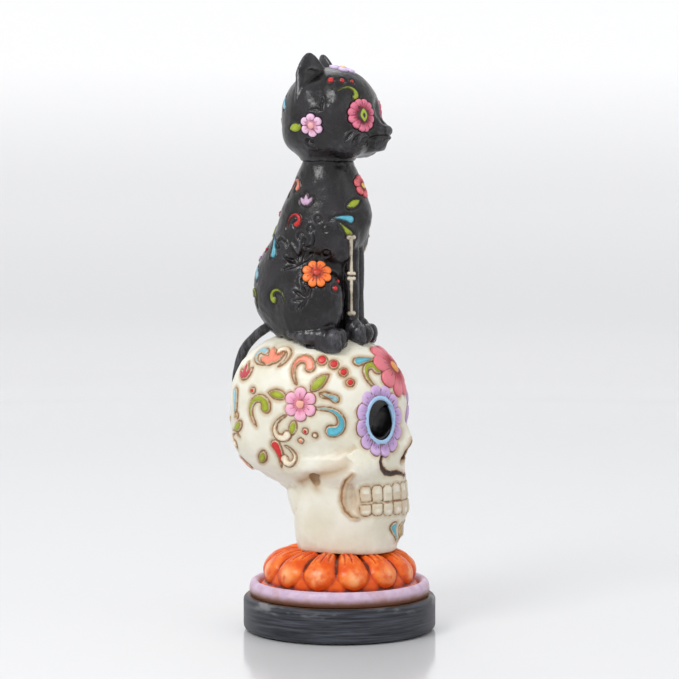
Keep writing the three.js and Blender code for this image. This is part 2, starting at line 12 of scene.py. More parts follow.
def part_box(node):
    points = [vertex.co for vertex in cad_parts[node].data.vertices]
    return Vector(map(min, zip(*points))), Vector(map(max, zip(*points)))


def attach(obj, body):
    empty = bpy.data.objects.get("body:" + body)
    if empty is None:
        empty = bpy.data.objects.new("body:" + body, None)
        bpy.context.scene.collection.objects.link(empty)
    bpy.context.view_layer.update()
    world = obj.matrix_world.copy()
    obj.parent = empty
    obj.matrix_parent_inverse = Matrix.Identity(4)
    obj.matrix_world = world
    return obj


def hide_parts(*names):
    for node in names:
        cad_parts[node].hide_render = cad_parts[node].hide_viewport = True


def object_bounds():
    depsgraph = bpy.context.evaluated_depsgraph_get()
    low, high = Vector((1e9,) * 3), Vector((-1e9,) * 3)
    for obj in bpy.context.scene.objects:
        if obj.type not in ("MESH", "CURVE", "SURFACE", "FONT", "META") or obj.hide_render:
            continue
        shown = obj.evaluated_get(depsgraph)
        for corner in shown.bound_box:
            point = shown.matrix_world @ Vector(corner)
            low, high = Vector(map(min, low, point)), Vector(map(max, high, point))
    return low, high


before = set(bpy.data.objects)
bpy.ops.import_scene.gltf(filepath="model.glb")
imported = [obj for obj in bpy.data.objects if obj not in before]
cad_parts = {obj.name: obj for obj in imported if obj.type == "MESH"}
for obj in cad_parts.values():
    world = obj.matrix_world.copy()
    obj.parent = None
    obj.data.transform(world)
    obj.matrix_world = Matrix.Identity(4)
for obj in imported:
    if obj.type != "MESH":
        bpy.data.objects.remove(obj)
cad_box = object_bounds()
mm = 0.001

# Camera: a long lens at the height of the cat's paws, on the figurine's right and a little in front
# of it, as in the photograph. The distance and the lens give the size that the photograph has.
def direction(turn, rise):
    """Which way a turn from the front and a rise point, both in degrees."""
    t, r = radians(turn), radians(rise)
    return Vector((sin(t) * cos(r), -cos(t) * cos(r), sin(r)))


def set_up(name, data, turn, rise, distance):
    """A camera or a lamp at this distance from the middle of the figurine, which it looks at."""
    made = bpy.data.objects.new(name, data)
    out = direction(turn, rise)
    made.location = Vector((0, 0, aim_height)) + out * distance
    made.rotation_mode = "QUATERNION"
    made.rotation_quaternion = (-out).to_track_quat("-Z", "Y")
    bpy.context.scene.collection.objects.link(made)
    return made


photo_pixels = 679
pixels_per_metre = 2840
camera_turn = -72
camera_rise = 4.2
camera_distance = 0.9
aim_height = 0.1027
camera_data = bpy.data.cameras.new("camera")
camera_data.sensor_width = 36
camera_data.lens = camera_data.sensor_width * pixels_per_metre * camera_distance / photo_pixels
camera = set_up("camera", camera_data, camera_turn, camera_rise, camera_distance)
bpy.context.scene.camera = camera
bpy.context.scene.view_settings.view_transform = "Standard"


# Studio: a pale floor with a faint gloss that sweeps up into a wall all round, a white room over it, and
# three soft lamps. The key lamp is on the camera's left, where the photograph's highlights come from.
def add_node(tree, kind, inputs=(), **settings):
    """A shader node, with its settings and with a value or a link for each named input."""
    made = tree.nodes.new("ShaderNode" + kind)
    for name, value in settings.items():
        setattr(made, name, value)
    for name, value in dict(inputs).items():
        if isinstance(value, bpy.types.NodeSocket):
            tree.links.new(value, made.inputs[name])
        else:
            made.inputs[name].default_value = value
    return made


def new_material(name):
    """An empty material and its tree."""
    material = bpy.data.materials.new(name)
    material.use_nodes = True
    material.node_tree.nodes.clear()
    return material, material.node_tree


def surface(tree, **inputs):
    """The shader at the end of a material's tree."""
    shader = add_node(tree, "BsdfPrincipled", {k.replace("_", " "): v for k, v in inputs.items()})
    add_node(tree, "OutputMaterial", {"Surface": shader.outputs["BSDF"]})
    return shader


def ramp(tree, value, start, end, low=0.0, high=1.0, kind="SMOOTHSTEP"):
    """From low where the value is at start, to high where it is at end."""
    return add_node(tree, "MapRange", {"Value": value, "From Min": start, "From Max": end,
                                       "To Min": low, "To Max": high},
                    interpolation_type=kind).outputs["Result"]


def height_of(tree):
    """How high each point of a piece is."""
    where = add_node(tree, "TexCoord").outputs["Object"]
    return add_node(tree, "SeparateXYZ", {"Vector": where}).outputs["Z"]


def turned_shape(profile, steps):
    """A closed body of revolution about Z from a profile of (radius, height) points."""
    shape = bmesh.new()
    points = [shape.verts.new((r, 0, z)) for r, z in profile]
    edges = [shape.edges.new(pair) for pair in zip(points, points[1:])]
    if profile[0][0] > 0:
        edges.append(shape.edges.new((points[-1], points[0])))
    bmesh.ops.spin(shape, geom=points + edges, cent=(0, 0, 0), axis=(0, 0, 1), angle=2 * pi,
                   steps=steps, use_merge=True)
    bmesh.ops.remove_doubles(shape, verts=shape.verts[:], dist=0.001 * mm)
    bmesh.ops.recalc_face_normals(shape, faces=shape.faces[:])
    return shape


def finished(shape, name):
    """The object that a bmesh becomes, shaded smooth."""
    mesh = bpy.data.meshes.new(name)
    shape.to_mesh(mesh)
    shape.free()
    mesh.polygons.foreach_set("use_smooth", [True] * len(mesh.polygons))
    piece = bpy.data.objects.new(name, mesh)
    bpy.context.scene.collection.objects.link(piece)
    return piece


def arc(centre_r, centre_z, radius, start, end, steps=8):
    """Points of (radius, height) on part of a circle, from one angle to another in degrees."""
    angles = [radians(start + (end - start) * i / steps) for i in range(steps + 1)]
    return [(centre_r + radius * cos(a), centre_z + radius * sin(a)) for a in angles]


floor_radius = 0.85
sweep_radius = 1.3
floor_thickness = 0.02
floor_colour = (0.7, 0.7, 0.706, 1)
glow_height = 0.25
wall_glow = 0.42
sweep = [(0, 0)] + arc(floor_radius, sweep_radius, sweep_radius, -90, -10, 24)
sweep += [(r, z - floor_thickness) for r, z in reversed(sweep)]
backdrop = finished(turned_shape(sweep, 96), "backdrop")
floor_paint, tree = new_material("pale_floor")
wall_light = ramp(tree, height_of(tree), 0.0, glow_height, 0.0, wall_glow, kind="LINEAR")
surface(tree, Base_Color=floor_colour, Roughness=0.13, Specular_IOR_Level=0.6,
        Emission_Color=(1, 1, 1, 1), Emission_Strength=wall_light)
backdrop.data.materials.append(floor_paint)

room_colour = (0.95, 0.96, 0.98, 1)
room_strength = 0.75
world = bpy.data.worlds.new("room")
world.use_nodes = True
world.node_tree.nodes["Background"].inputs["Color"].default_value = room_colour
world.node_tree.nodes["Background"].inputs["Strength"].default_value = room_strength
bpy.context.scene.world = world

# Each lamp's name, its turn and rise in degrees, its distance and size in metres, and its watts
lamps = [
    ("key_lamp", -112, 42, 0.9, 0.32, 4.0),
    ("fill_lamp", -15, 30, 1.0, 0.6, 0.9),
    ("back_lamp", 120, 50, 1.0, 0.6, 2.0),
]
for name, turn, rise, distance, size, watts in lamps:
    data = bpy.data.lights.new(name, "AREA")
    data.size = size
    data.energy = watts
    set_up(name, data, turn, rise, distance)


# Felt pad: thin self-adhesive black felt in a shallow recess under the plinth. Only its edge could
# ever show, so the solid of the frame stays and gets a matted, fibrous finish.
def place_on(tree, stretch):
    """The piece's own coordinates, with a factor for each axis."""
    where = add_node(tree, "TexCoord").outputs["Object"]
    return add_node(tree, "Mapping", {"Vector": where, "Scale": stretch}).outputs["Vector"]


def noise_of(tree, scale, detail=3, stretch=(1, 1, 1), rough=0.5):
    """Cloudy noise on the piece's own coordinates. The scale is in cells per metre."""
    return add_node(tree, "TexNoise", {"Vector": place_on(tree, stretch), "Scale": scale,
                                       "Detail": detail, "Roughness": rough}).outputs["Fac"]


def coats(tree, tone, *layers):
    """Colours laid over a first one, each by its share, and multiplied where that is said."""
    for share, colour, *kind in layers:
        tone = add_node(tree, "Mix", {0: share, 6: tone, 7: colour}, data_type="RGBA",
                        blend_type=kind[0] if kind else "MIX").outputs[2]
    return tone


def bump(tree, height, distance):
    """A fine unevenness of the surface, of this depth in metres."""
    return add_node(tree, "Bump", {"Height": height, "Distance": distance}).outputs["Normal"]


def finish_solids(material, *nodes):
    """The material of CAD solids that stay as they are."""
    for node in nodes:
        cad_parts[node].data.materials.clear()
        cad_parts[node].data.materials.append(material)


felt_black = (0.01, 0.01, 0.011, 1)
felt_grey = (0.045, 0.045, 0.05, 1)
felt, tree = new_material("black_felt")
fibres = noise_of(tree, 2500, detail=6)
surface(tree, Base_Color=coats(tree, felt_black, (fibres, felt_grey)), Roughness=0.95,
        Specular_IOR_Level=0.1, Normal=bump(tree, fibres, 0.3 * mm))
finish_solids(felt, "felt_pad")


# Plinth: a solid cast disc with rounded edges, brushed charcoal black all round. Its shoulder is
# worn to a lighter grey, and a pin from it holds the skull.
def times(tree, first, second):
    """The product of two values."""
    return add_node(tree, "Math", {0: first, 1: second}, operation="MULTIPLY").outputs[0]


def stands_for(piece, material, slot, *nodes):
    """The piece gets its material, rides on the figurine and takes the place of its CAD nodes."""
    piece.data.materials.clear()
    piece.data.materials.append(material)
    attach(piece, "root")
    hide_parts(*nodes)


plinth_low, plinth_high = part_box("plinth")
felt_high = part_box("felt_pad")[1]
plinth_radius = plinth_high.x
plinth_round = 1.7 * mm
round_steps = 160
recess_radius = felt_high.x + 0.3 * mm
recess_top = felt_high.z + 0.3 * mm
plinth_profile = [(0, recess_top), (recess_radius, recess_top), (recess_radius, plinth_low.z)]
plinth_profile += arc(plinth_radius - plinth_round, plinth_low.z + plinth_round, plinth_round, -90, 0)
plinth_profile += arc(plinth_radius - plinth_round, plinth_high.z - plinth_round, plinth_round, 0, 90)
plinth_profile += [(0, plinth_high.z)]
plinth = finished(turned_shape(plinth_profile, round_steps), "painted_plinth")

charcoal = (0.012, 0.0132, 0.018, 1)
brushed_grey = (0.076, 0.081, 0.1, 1)
worn_grey = (0.19, 0.19, 0.2, 1)
brown_wash = (0.16, 0.075, 0.03, 1)
brushed, tree = new_material("brushed_charcoal_paint")
height = height_of(tree)
radius = add_node(tree, "VectorMath", {0: place_on(tree, (1, 1, 0))}, operation="LENGTH").outputs["Value"]
streaks = noise_of(tree, 60, detail=6, stretch=(1, 1, 22), rough=0.65)
patches = ramp(tree, noise_of(tree, 90, detail=4, stretch=(1, 1, 3)), 0.5, 0.66)
shoulder = ramp(tree, height, plinth_high.z - 4.2 * mm, plinth_high.z - 0.8 * mm)
top = ramp(tree, height, plinth_high.z - 0.3 * mm, plinth_high.z - 0.1 * mm)
wash_start, wash_end = 32.3 * mm, 32.9 * mm
band_foot = ramp(tree, radius, wash_start, wash_end, 0.7, 0)
tone = coats(tree, charcoal,
             (ramp(tree, streaks, 0.35, 0.75), brushed_grey),
             (times(tree, shoulder, patches), worn_grey),
             (times(tree, top, band_foot), brown_wash))
surface(tree, Base_Color=tone, Roughness=ramp(tree, streaks, 0.3, 0.7, 0.34, 0.5),
        Specular_IOR_Level=0.3, Normal=bump(tree, streaks, 0.15 * mm))
stands_for(plinth, brushed, "black_paint", "plinth")


# Rim band: a smooth rounded ring cast on top of the plinth and painted pale lilac. Brown wash lies
# along its foot, where it meets the plinth.
band_low, band_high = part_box("rim_band")
band_outer = band_high.x
band_width = 3.8 * mm
band_lip = 1.8 * mm
band_rise = band_high.z - band_low.z - band_lip
band_profile = [(band_outer - band_width, band_low.z), (band_outer - 0.3 * mm, band_low.z)]
for i in range(17):
    a = pi * i / 16
    band_profile.append((band_outer - band_width / 2 * (1 - cos(a)),
                         band_low.z + band_lip + band_rise * sin(a) ** 0.8))
band = finished(turned_shape(band_profile, round_steps), "painted_rim_band")

lilac = (0.54, 0.385, 0.53, 1)
pale_lilac = (0.64, 0.49, 0.63, 1)
rubbed_rose = (0.48, 0.26, 0.27, 1)
foot_brown = (0.22, 0.1, 0.065, 1)
lilac_paint, tree = new_material("lilac_band_paint")
mottle = noise_of(tree, 320, detail=5)
rubbed = ramp(tree, noise_of(tree, 90, detail=5, rough=0.7), 0.45, 0.7)
waver = times(tree, mottle, 1.6 * mm)
uneven = add_node(tree, "Math", {0: height_of(tree), 1: waver}, operation="SUBTRACT").outputs[0]
tone = coats(tree, lilac,
             (ramp(tree, mottle, 0.3, 0.7), pale_lilac),
             (times(tree, rubbed, 0.6), rubbed_rose),
             (ramp(tree, uneven, band_low.z + 0.1 * mm, band_low.z + 2.6 * mm, 1, 0), foot_brown))
surface(tree, Base_Color=tone, Roughness=0.42, Normal=bump(tree, mottle, 0.1 * mm))
stands_for(band, lilac_paint, "lilac_paint", "rim_band")


# Flower collar: a low dome cast with a round of thirteen plump petals. It is painted orange, with
# red-orange and dark brown left in the creases, paler strokes on what stands out, and a pale stroke
# low on each petal that is partly painted highlight.
def fine_surface(shape, name, grain):
    """One closed surface round all the bodies of a bmesh, in faces of about this size."""
    piece = finished(shape, name)
    remesh = piece.modifiers.new("grain", "REMESH")
    remesh.mode = "VOXEL"
    remesh.voxel_size = grain
    result = piece.evaluated_get(bpy.context.evaluated_depsgraph_get())
    mesh = bpy.data.meshes.new_from_object(result)
    piece.modifiers.clear()
    piece.data = mesh
    mesh.polygons.foreach_set("use_smooth", [True] * len(mesh.polygons))
    return piece


far = 9.0  # in mm, further than any line or colour reaches


class Surface:
    """The vertices of a fine surface, and what carving and painting do to each of them."""

    def __init__(self, piece):
        self.piece = piece
        self.mesh = piece.data
        count = len(self.mesh.vertices)
        self.places = self.read("vertices", "co", 3)
        self.edges = self.read("edges", "vertices", 2, np.int32)
        self.degree = np.bincount(self.edges.ravel(), minlength=count)[:, None]
        self.height = np.zeros(count)
        self.painted = np.full(count, far)
        self.line = np.full(count, far)
        self.colour = np.ones((count, 4))
        self.shade = np.zeros(count)
        self.update()

    def read(self, items, name, width, kind=np.float32):
        """A value of each of the mesh's items, as rows of this width."""
        values = np.empty(len(getattr(self.mesh, items)) * width, kind)
        getattr(self.mesh, items).foreach_get(name, values)
        return values.reshape(-1, width).astype(float if kind is np.float32 else kind)

    def update(self):
        """Writes the places to the mesh and reads the normals that they give."""
        self.mesh.vertices.foreach_set("co", self.places.astype(np.float32).ravel())
        self.mesh.update()
        self.normals = self.read("vertices", "normal", 3)

    def mean(self, values):
        """The mean of each vertex's neighbours."""
        a, b = self.edges.T
        columns = [np.bincount(a, column[b], len(values)) + np.bincount(b, column[a], len(values))
                   for column in values.T]
        return np.stack(columns, 1) / self.degree

    def smooth(self, rounds):
        """Takes out facets without shrinking what is round: each pull inwards is pushed back out."""
        pull, push = 0.5, 0.53
        for _ in range(rounds):
            self.places += pull * (self.mean(self.places) - self.places)
            self.places -= push * (self.mean(self.places) - self.places)
        self.update()

    def relax(self, rounds, share):
        """Evens out broad facets, by a share at each vertex."""
        for _ in range(rounds):
            self.places += 0.5 * share[:, None] * (self.mean(self.places) - self.places)
        self.update()

    def chisel(self, depth, size):
        """The gentle unevenness of a hand-carved model."""
        waves = [noise.noise(Vector(p) / size) for p in self.places]
        self.places += self.normals * (np.array(waves) * depth)[:, None]
        self.update()

    def add(self, which, distance, rise, colour, line, depth, edge=0.7, margin=0.0):
        """A shape at a signed distance in mm, negative inside it: raised, outlined, and painted if it is."""
        inside = np.clip(-distance / edge, 0, 1)
        self.height[which] += rise * (1 - (1 - inside) ** 2)
        self.height[which] -= depth * np.exp(-(distance / line) ** 2)
        edge_line = np.abs(distance) - line
        self.line[which] = np.where(distance < 0, edge_line, np.minimum(self.line[which], edge_line))
        if colour:
            self.stain(which, distance + margin, colour)

    def stain(self, which, distance, colour):
        """The colour of a shape, also a little way outside it, where no other shape is."""
        nearest = distance < np.maximum(self.painted[which], 0)
        self.colour[which[nearest]] = (*colour, 1)
        self.painted[which] = np.minimum(self.painted[which], distance)

    def groove(self, which, distance, width, depth):
        """A line cut along a shape of signed distance in mm, with a soft bottom and a faint lip."""
        lip_height, lip_place, lip_width = 0.4 * depth, 0.55, 0.35
        self.height[which] -= depth * np.clip(-distance / width + 0.5, 0, 1)
        self.height[which] += lip_height * np.exp(-((distance - lip_place) / lip_width) ** 2)
        self.line[which] = np.minimum(self.line[which], distance)

    def darken(self, start, end, most):
        """Darkening that deepens from none at one height to its most at another."""
        share = np.clip((self.places[:, 2] - start) / (end - start), 0, 1)
        self.shade = np.maximum(self.shade, most * share)

    def close(self, hollow, ridge):
        """Raises and cuts the surface, and stores what the paint follows. Hollow and ridge are in mm."""
        self.places += self.normals * self.height[:, None] * mm
        self.places = np.clip(self.places, np.array(cad_box[0]), np.array(cad_box[1]))
        self.update()
        soft = self.places
        depth = 0
        for rounds, weight in ((8, 1), (40, 0.5)):
            for _ in range(rounds):
                soft = self.mean(soft)
            depth = depth + weight * ((soft - self.places) * self.normals).sum(1) / mm
        values = {
            "hollow": np.clip((depth - hollow[0]) / (hollow[1] - hollow[0]), 0, 1),
            "ridge": np.clip((-depth - ridge[0]) / (ridge[1] - ridge[0]), 0, 1),
            "painted": self.painted, "line": self.line, "shade": self.shade,
        }
        for name, value in values.items():
            made = self.mesh.attributes.new(name, "FLOAT", "POINT")
            made.data.foreach_set("value", value.astype(np.float32))
        made = self.mesh.attributes.new("paint", "FLOAT_COLOR", "POINT")
        made.data.foreach_set("color", self.colour.astype(np.float32).ravel())


def distance_to(path, u, v):
    """Signed distance in mm from points to a stroke: a path of (across, up, half-width) in mm."""
    best = np.full(u.shape, far)
    for (x0, y0, r0), (x1, y1, r1) in zip(path, path[1:]):
        dx, dy = x1 - x0, y1 - y0
        t = np.clip(((u - x0) * dx + (v - y0) * dy) / max(dx * dx + dy * dy, 1e-9), 0, 1)
        best = np.minimum(best, np.hypot(u - x0 - t * dx, v - y0 - t * dy) - (r0 + t * (r1 - r0)))
    return best


collar_low, collar_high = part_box("flower_collar")
petal_count = 13
first_petal_turn = 2 * pi * 0.504
dome_centre_radius = 13 * mm
dome_foot = band_high.z - 0.5 * mm
dome_reach = 14.2 * mm
dome_height = collar_high.z - dome_foot
roundness = 0.85
petal_foot = 0.36
petal_half_width = 5.5 * mm
petal_top_half_width = 2.9 * mm
petal_half_thickness = 2.5 * mm
petal_sunk = 1.5 * mm
petal_thinning = 0.45
dome_inset = 0.9 * mm


def spine(share):
    """A point of the dome's outline, from its foot at 0 to the skull's seat at 1, and its slope."""
    a = pi / 2 * share
    here = (dome_centre_radius + dome_reach * max(cos(a), 0) ** roundness,
            dome_foot + dome_height * sin(a) ** roundness)
    lean = a + 0.001
    out = Vector((cos(lean) / dome_reach, 0, sin(lean) / dome_height)).normalized()
    return here, out


def drawn_ball(shape, rows, place_of):
    """A ball whose points go where place_of puts them, by their direction round it and their share up."""
    made = bmesh.ops.create_uvsphere(shape, u_segments=24, v_segments=rows, radius=1)["verts"]
    for v in made:
        across, away, along = v.co
        ring = sqrt(max(1 - along * along, 0))
        across, away = (across / ring, away / ring) if ring > 0.01 else (0, 0)
        v.co = place_of(across, away, (along + 1) / 2)
    return made


def petal_place(across, away, share):
    """A point of a plump petal: a round foot over the band, and a taper that runs up under the skull."""
    foot = min(share / petal_foot, 1)
    taper = max(share - petal_foot, 0) / (1 - petal_foot)
    width = petal_half_width * sqrt(1 - (1 - foot) ** 2)
    width += (petal_top_half_width - petal_half_width) * taper
    thickness = petal_half_thickness * sqrt(1 - (1 - foot) ** 2) * (1 - petal_thinning * taper)
    (r, z), out = spine(share)
    return (Vector((r, 0, z)) + Vector((0, 1, 0)) * (across * width)
            + out * (away * thickness - petal_sunk * (1 - 0.5 * taper)))


def petal(shape, turn):
    """One petal, turned to its place in the round."""
    made = drawn_ball(shape, 24, petal_place)
    leaning = Vector((1, 0, 0)).rotation_difference(Vector((cos(turn), sin(turn), 0)))
    bmesh.ops.rotate(shape, verts=made, cent=(0, 0, 0), matrix=leaning.to_matrix())


def stored(tree, name):
    """A value that the vertices of a piece carry."""
    return add_node(tree, "Attribute", attribute_name=name).outputs["Fac"]


dome_wall = band_outer - band_width - 0.1 * mm
dome_profile = [(0, collar_low.z), (dome_wall, collar_low.z), (dome_wall, band_high.z - 1.9 * mm)]
for i in range(13):
    (r, z), out = spine(i / 12)
    dome_profile.append((r - out.x * dome_inset, z - out.z * dome_inset))
dome_profile.append((0, dome_profile[-1][1]))
collar_shape = turned_shape(dome_profile, 96)
for i in range(petal_count):
    petal(collar_shape, first_petal_turn + 2 * pi * i / petal_count)
collar = Surface(fine_surface(collar_shape, "painted_collar", grain=0.38 * mm))
collar.smooth(6)

# Each petal's creases and its pale stroke with painted highlight, in mm across the petal and up from its
# foot
x, y, z = collar.places.T
spread = np.hypot(x, y)
step = 2 * pi / petal_count
off_petal = (np.arctan2(y, x) - first_petal_turn + step / 2) % step - step / 2
across = off_petal * spread / mm
up_dome = np.arctan2((z - dome_foot) / dome_height, (spread - dome_centre_radius) / dome_reach)
petal_length = 20
up_petal = up_dome / (pi / 2) * petal_length
everywhere = np.arange(len(spread))
petal_creases = [
    [(0, 18, 0.3), (0.15, 14, 0.25), (-0.1, 11, 0.02)],
    [(-1.6, 18, 0.22), (-2.0, 14, 0.2), (-2.7, 10.5, 0.02)],
    [(1.6, 18, 0.22), (2.1, 14.5, 0.2), (2.6, 12, 0.02)],
]
crease_width = 0.5
crease_depth = 0.45
outer_side = collar.normals[:, 2] > -0.2
for crease in petal_creases:
    distance = np.where(outer_side, distance_to(crease, across, up_petal), far)
    collar.groove(everywhere, distance, crease_width, crease_depth)
collar.chisel(0.12 * mm, 2.5 * mm)
# The pale stroke low in the middle of each petal is partly pale paint and partly painted highlight; the
# collar keeps it in its shade values
highlight_stroke_half_width = 2.2
highlight_stroke_middle = 5.5
highlight_stroke_half_length = 2.6
light = np.exp(-(across / highlight_stroke_half_width) ** 2 - ((up_petal - highlight_stroke_middle) / highlight_stroke_half_length) ** 2)
collar.shade = np.where(np.abs(across) < 5, light, 0)
collar.close(hollow=(0.02, 0.36), ridge=(0.05, 0.4))

orange = (0.7, 0.075, 0.003, 1)
bright_orange = (0.83, 0.135, 0.005, 1)
edge_orange = (0.9, 0.26, 0.05, 1)
pale_stroke_and_highlight = (0.96, 0.55, 0.26, 1)
red_orange = (0.5, 0.05, 0.006, 1)
crease_brown = (0.1, 0.014, 0.004, 1)
orange_paint, tree = new_material("orange_petal_paint")
cloud = noise_of(tree, 220, detail=4)
hollow = stored(tree, "hollow")
# The stored shade values carry each petal's pale stroke with its painted highlight
tone = coats(tree, orange,
             (ramp(tree, cloud, 0.3, 0.7), bright_orange),
             (times(tree, stored(tree, "ridge"), ramp(tree, cloud, 0.4, 0.7)), edge_orange),
             (times(tree, stored(tree, "shade"), ramp(tree, cloud, 0.35, 0.6, 0.1, 0.7)), pale_stroke_and_highlight),
             (ramp(tree, hollow, 0.0, 0.6), red_orange),
             (ramp(tree, hollow, 0.55, 1.0), crease_brown))
surface(tree, Base_Color=tone, Roughness=0.3, Specular_IOR_Level=0.32,
        Normal=bump(tree, noise_of(tree, 700), 0.08 * mm))
stands_for(collar.piece, orange_paint, "orange_paint", "flower_collar")


# Skull: one hollow-eyed casting that stands on the collar, painted bone cream. Its flowers, leaves and
# drops are cut in outline and raised, and brown wash stays in every line and hollow.
def sides(place):
    """Both sides of a piece, the right one first, or its middle alone."""
    return ((-1, "_right"), (1, "_left")) if place[0] else ((-1, ""),)


class Ground(Surface):
    """A surface with ornament, laid out by turn and rise in degrees from a centre, or by places in mm."""

    def lay_out_from(self, x, y, z):
        """Fixes the centre, and the surface as it is before anything is raised or cut."""
        self.centre = Vector((x, y, z))
        self.tree = BVHTree.FromObject(self.piece, bpy.context.evaluated_depsgraph_get())
        self.corners = [list(face.vertices) for face in self.piece.data.polygons]

    def frame_round(self, point):
        """The point, and the directions to its right, up and outwards."""
        near = np.linalg.norm(self.places - np.array(point), axis=1) < 2 * mm
        normal = Vector(self.normals[near].mean(0)).normalized()
        upright = Vector((0, 0, 1)) if abs(normal.z) < 0.97 else Vector((0, 1, 0))
        right = upright.cross(normal).normalized()
        return point, right, normal.cross(right), normal

    def frame_of(self, place, side, turn=None):
        """The frame at a turn and rise, near a place in mm, or in front of it looking out at a turn."""
        if len(place) == 2:
            out = direction(place[0] * side, place[1])
            return self.frame_round(self.tree.ray_cast(self.centre + out * 100 * mm, -out)[0])
        inner = Vector((-side * place[0], place[1], place[2])) * mm
        if turn is None:
            return self.frame_round(self.tree.find_nearest(inner)[0])
        out = direction(turn * side, 0)
        point = self.tree.ray_cast(inner + out * 100 * mm, -out)[0]
        return point, Vector((0, 0, 1)).cross(out), Vector((0, 0, 1)), out

    def patch(self, where, side, heading, reach, facing=0.15, below=99):
        """The vertices within reach of a frame, and their places across and up it in mm."""
        point, right, up, normal = (np.array(v) for v in where)
        away = self.places - point
        which = np.flatnonzero((np.linalg.norm(away, axis=1) < reach * mm)
                               & (self.normals @ normal > facing) & (away @ normal > -below * mm))
        u, v = away[which] @ right / mm * -side, away[which] @ up / mm
        a = radians(heading)
        return which, u * cos(a) + v * sin(a), v * cos(a) - u * sin(a)

    def strokes(self, paths, place, heading, spare, turn, below):
        """The vertices round some strokes with their distance in mm, on both sides or on the middle."""
        reach = spare + max(hypot(x, y) + r for path in paths for x, y, r in path)
        for side, _ in sides(place):
            which, u, v = self.patch(self.frame_of(place, side, turn), side, heading, reach, below=below)
            yield which, np.min([distance_to(path, u, v) for path in paths], axis=0)

    def ornament(self, paths, place, heading=0, colour=None, raised=0.45, line=0.3, depth=0.4,
                 margin=0.0, turn=None, below=99):
        """A shape made of strokes: raised, painted and outlined, or only cut where it has no colour."""
        for which, distance in self.strokes(paths, place, heading, 1.5, turn, below):
            if colour:
                self.add(which, distance, raised, colour, line, depth, margin=margin)
            else:
                self.groove(which, distance, line, depth)

    def press(self, path, place, amount, soft, shade=0.0, turn=None, below=99):
        """Pushes the surface out or in by so many mm along a stroke, and darkens it there with painted
        shade.
        """
        for which, distance in self.strokes([path], place, 0, 2 * soft, turn, below):
            share = np.clip(0.5 - distance / soft / 2, 0, 1)
            share = share * share * (3 - 2 * share)
            self.height[which] += amount * share
            self.shade[which] = np.maximum(self.shade[which], shade * share)


def casting(name, nodes, shape, grain, swell, rounds):
    """The surface round some CAD solids and added shapes. The solids swell, so that their seams close."""
    for node in nodes:
        part = bmesh.new()
        part.from_mesh(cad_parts[node].data)
        bmesh.ops.remove_doubles(part, verts=part.verts[:], dist=0.001 * mm)
        part.normal_update()
        for v in part.verts:
            v.co += v.normal * swell
        joined = bpy.data.meshes.new(node)
        part.to_mesh(joined)
        part.free()
        shape.from_mesh(joined)
        bpy.data.meshes.remove(joined)
    made = Ground(fine_surface(shape, name, grain))
    made.smooth(rounds)
    return made


def ball(shape, radius, stretch, place, columns, rows):
    """A ball, stretched along each axis, that a casting closes round."""
    made = bmesh.ops.create_uvsphere(shape, u_segments=columns, v_segments=rows, radius=radius)["verts"]
    bmesh.ops.scale(shape, verts=made, vec=stretch)
    bmesh.ops.translate(shape, verts=made, vec=place)


def bent(length, bend, width_at, steps=9, wind=1.0):
    """A stroke that starts upwards and bends by so many degrees, with its half-width along it."""
    x = y = 0.0
    path = [(x, y, width_at(0))]
    for i in range(steps):
        a = radians(bend) * ((i + 0.5) / steps) ** wind
        x += length / steps * sin(a)
        y += length / steps * cos(a)
        path.append((x, y, width_at((i + 1) / steps)))
    return path


def drop(length, width, bend=0):
    """A drop with a round head at its place and a pointed tail."""
    return [bent(length, bend, lambda t: width / 2 * (1 - t) ** 0.8 + 0.04)]


def leaf(length, width, bend=0):
    """A pointed leaf that grows from its place."""
    return [bent(length, bend, lambda t: width / 2 * sin(pi * t ** 0.85) + 0.04)]


def curl(length, width, bend=250):
    """A tail that winds in to a round knob."""
    half_step = 0.5 / 16
    return [bent(length, bend, lambda t: width / 2 * (0.25 + 0.75 * (t - half_step) ** 1.5) if t else 0.1,
                 steps=16, wind=1.9)]


def dot(width):
    """A round spot."""
    return [[(0, 0, width / 2), (0.01, 0, width / 2)]]


def heart(size):
    """Two leaning lobes that meet in a point."""
    return [[(side * size * 0.24, size * 0.2, size * 0.26), (side * size * 0.1, -size * 0.12, size * 0.16),
             (0, -size * 0.45, 0.05)] for side in (-1, 1)]


def moved(path, turn, across=0, up=0):
    """A stroke turned by so many degrees and moved across and up."""
    c, s = cos(radians(turn)), sin(radians(turn))
    return [(x * c - y * s + across, y * c + x * s + up, r) for x, y, r in path]


def fan(count, length, width, spread):
    """Leaves that open from one place, the middle one longest."""
    sizes = [length * (1 if i == count // 2 else 0.86) for i in range(count)]
    return [moved(leaf(size, width)[0], -spread * (i / (count - 1) - 0.5)) for i, size in enumerate(sizes)]


def spray(ground, place, motifs, **finish):
    """Motifs round one place, each with its own place across and up from it in mm, and its heading."""
    for paths, across, up, heading, colour in motifs:
        ground.ornament([moved(path, heading, across, up) for path in paths], place, 0, colour, **finish)


# The nape: two balls fill the corner between the jaw and the back of the head
skull_shape = bmesh.new()
for radii, place in (((12.2, 10.3, 15), (0, 8.6, 50)), ((11, 9.5, 5.5), (0, 13, 53.8))):
    ball(skull_shape, mm, radii, Vector(place) * mm, 32, 24)
skull = casting("painted_skull", ["skull"], skull_shape, grain=0.45 * mm, swell=0.05 * mm, rounds=20)
skull.chisel(0.3 * mm, 8 * mm)
skull.chisel(0.05 * mm, 2 * mm)
skull_low, skull_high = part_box("skull")
skull.lay_out_from(0, -1.3 * mm, (skull_low.z + skull_high.z) / 2)
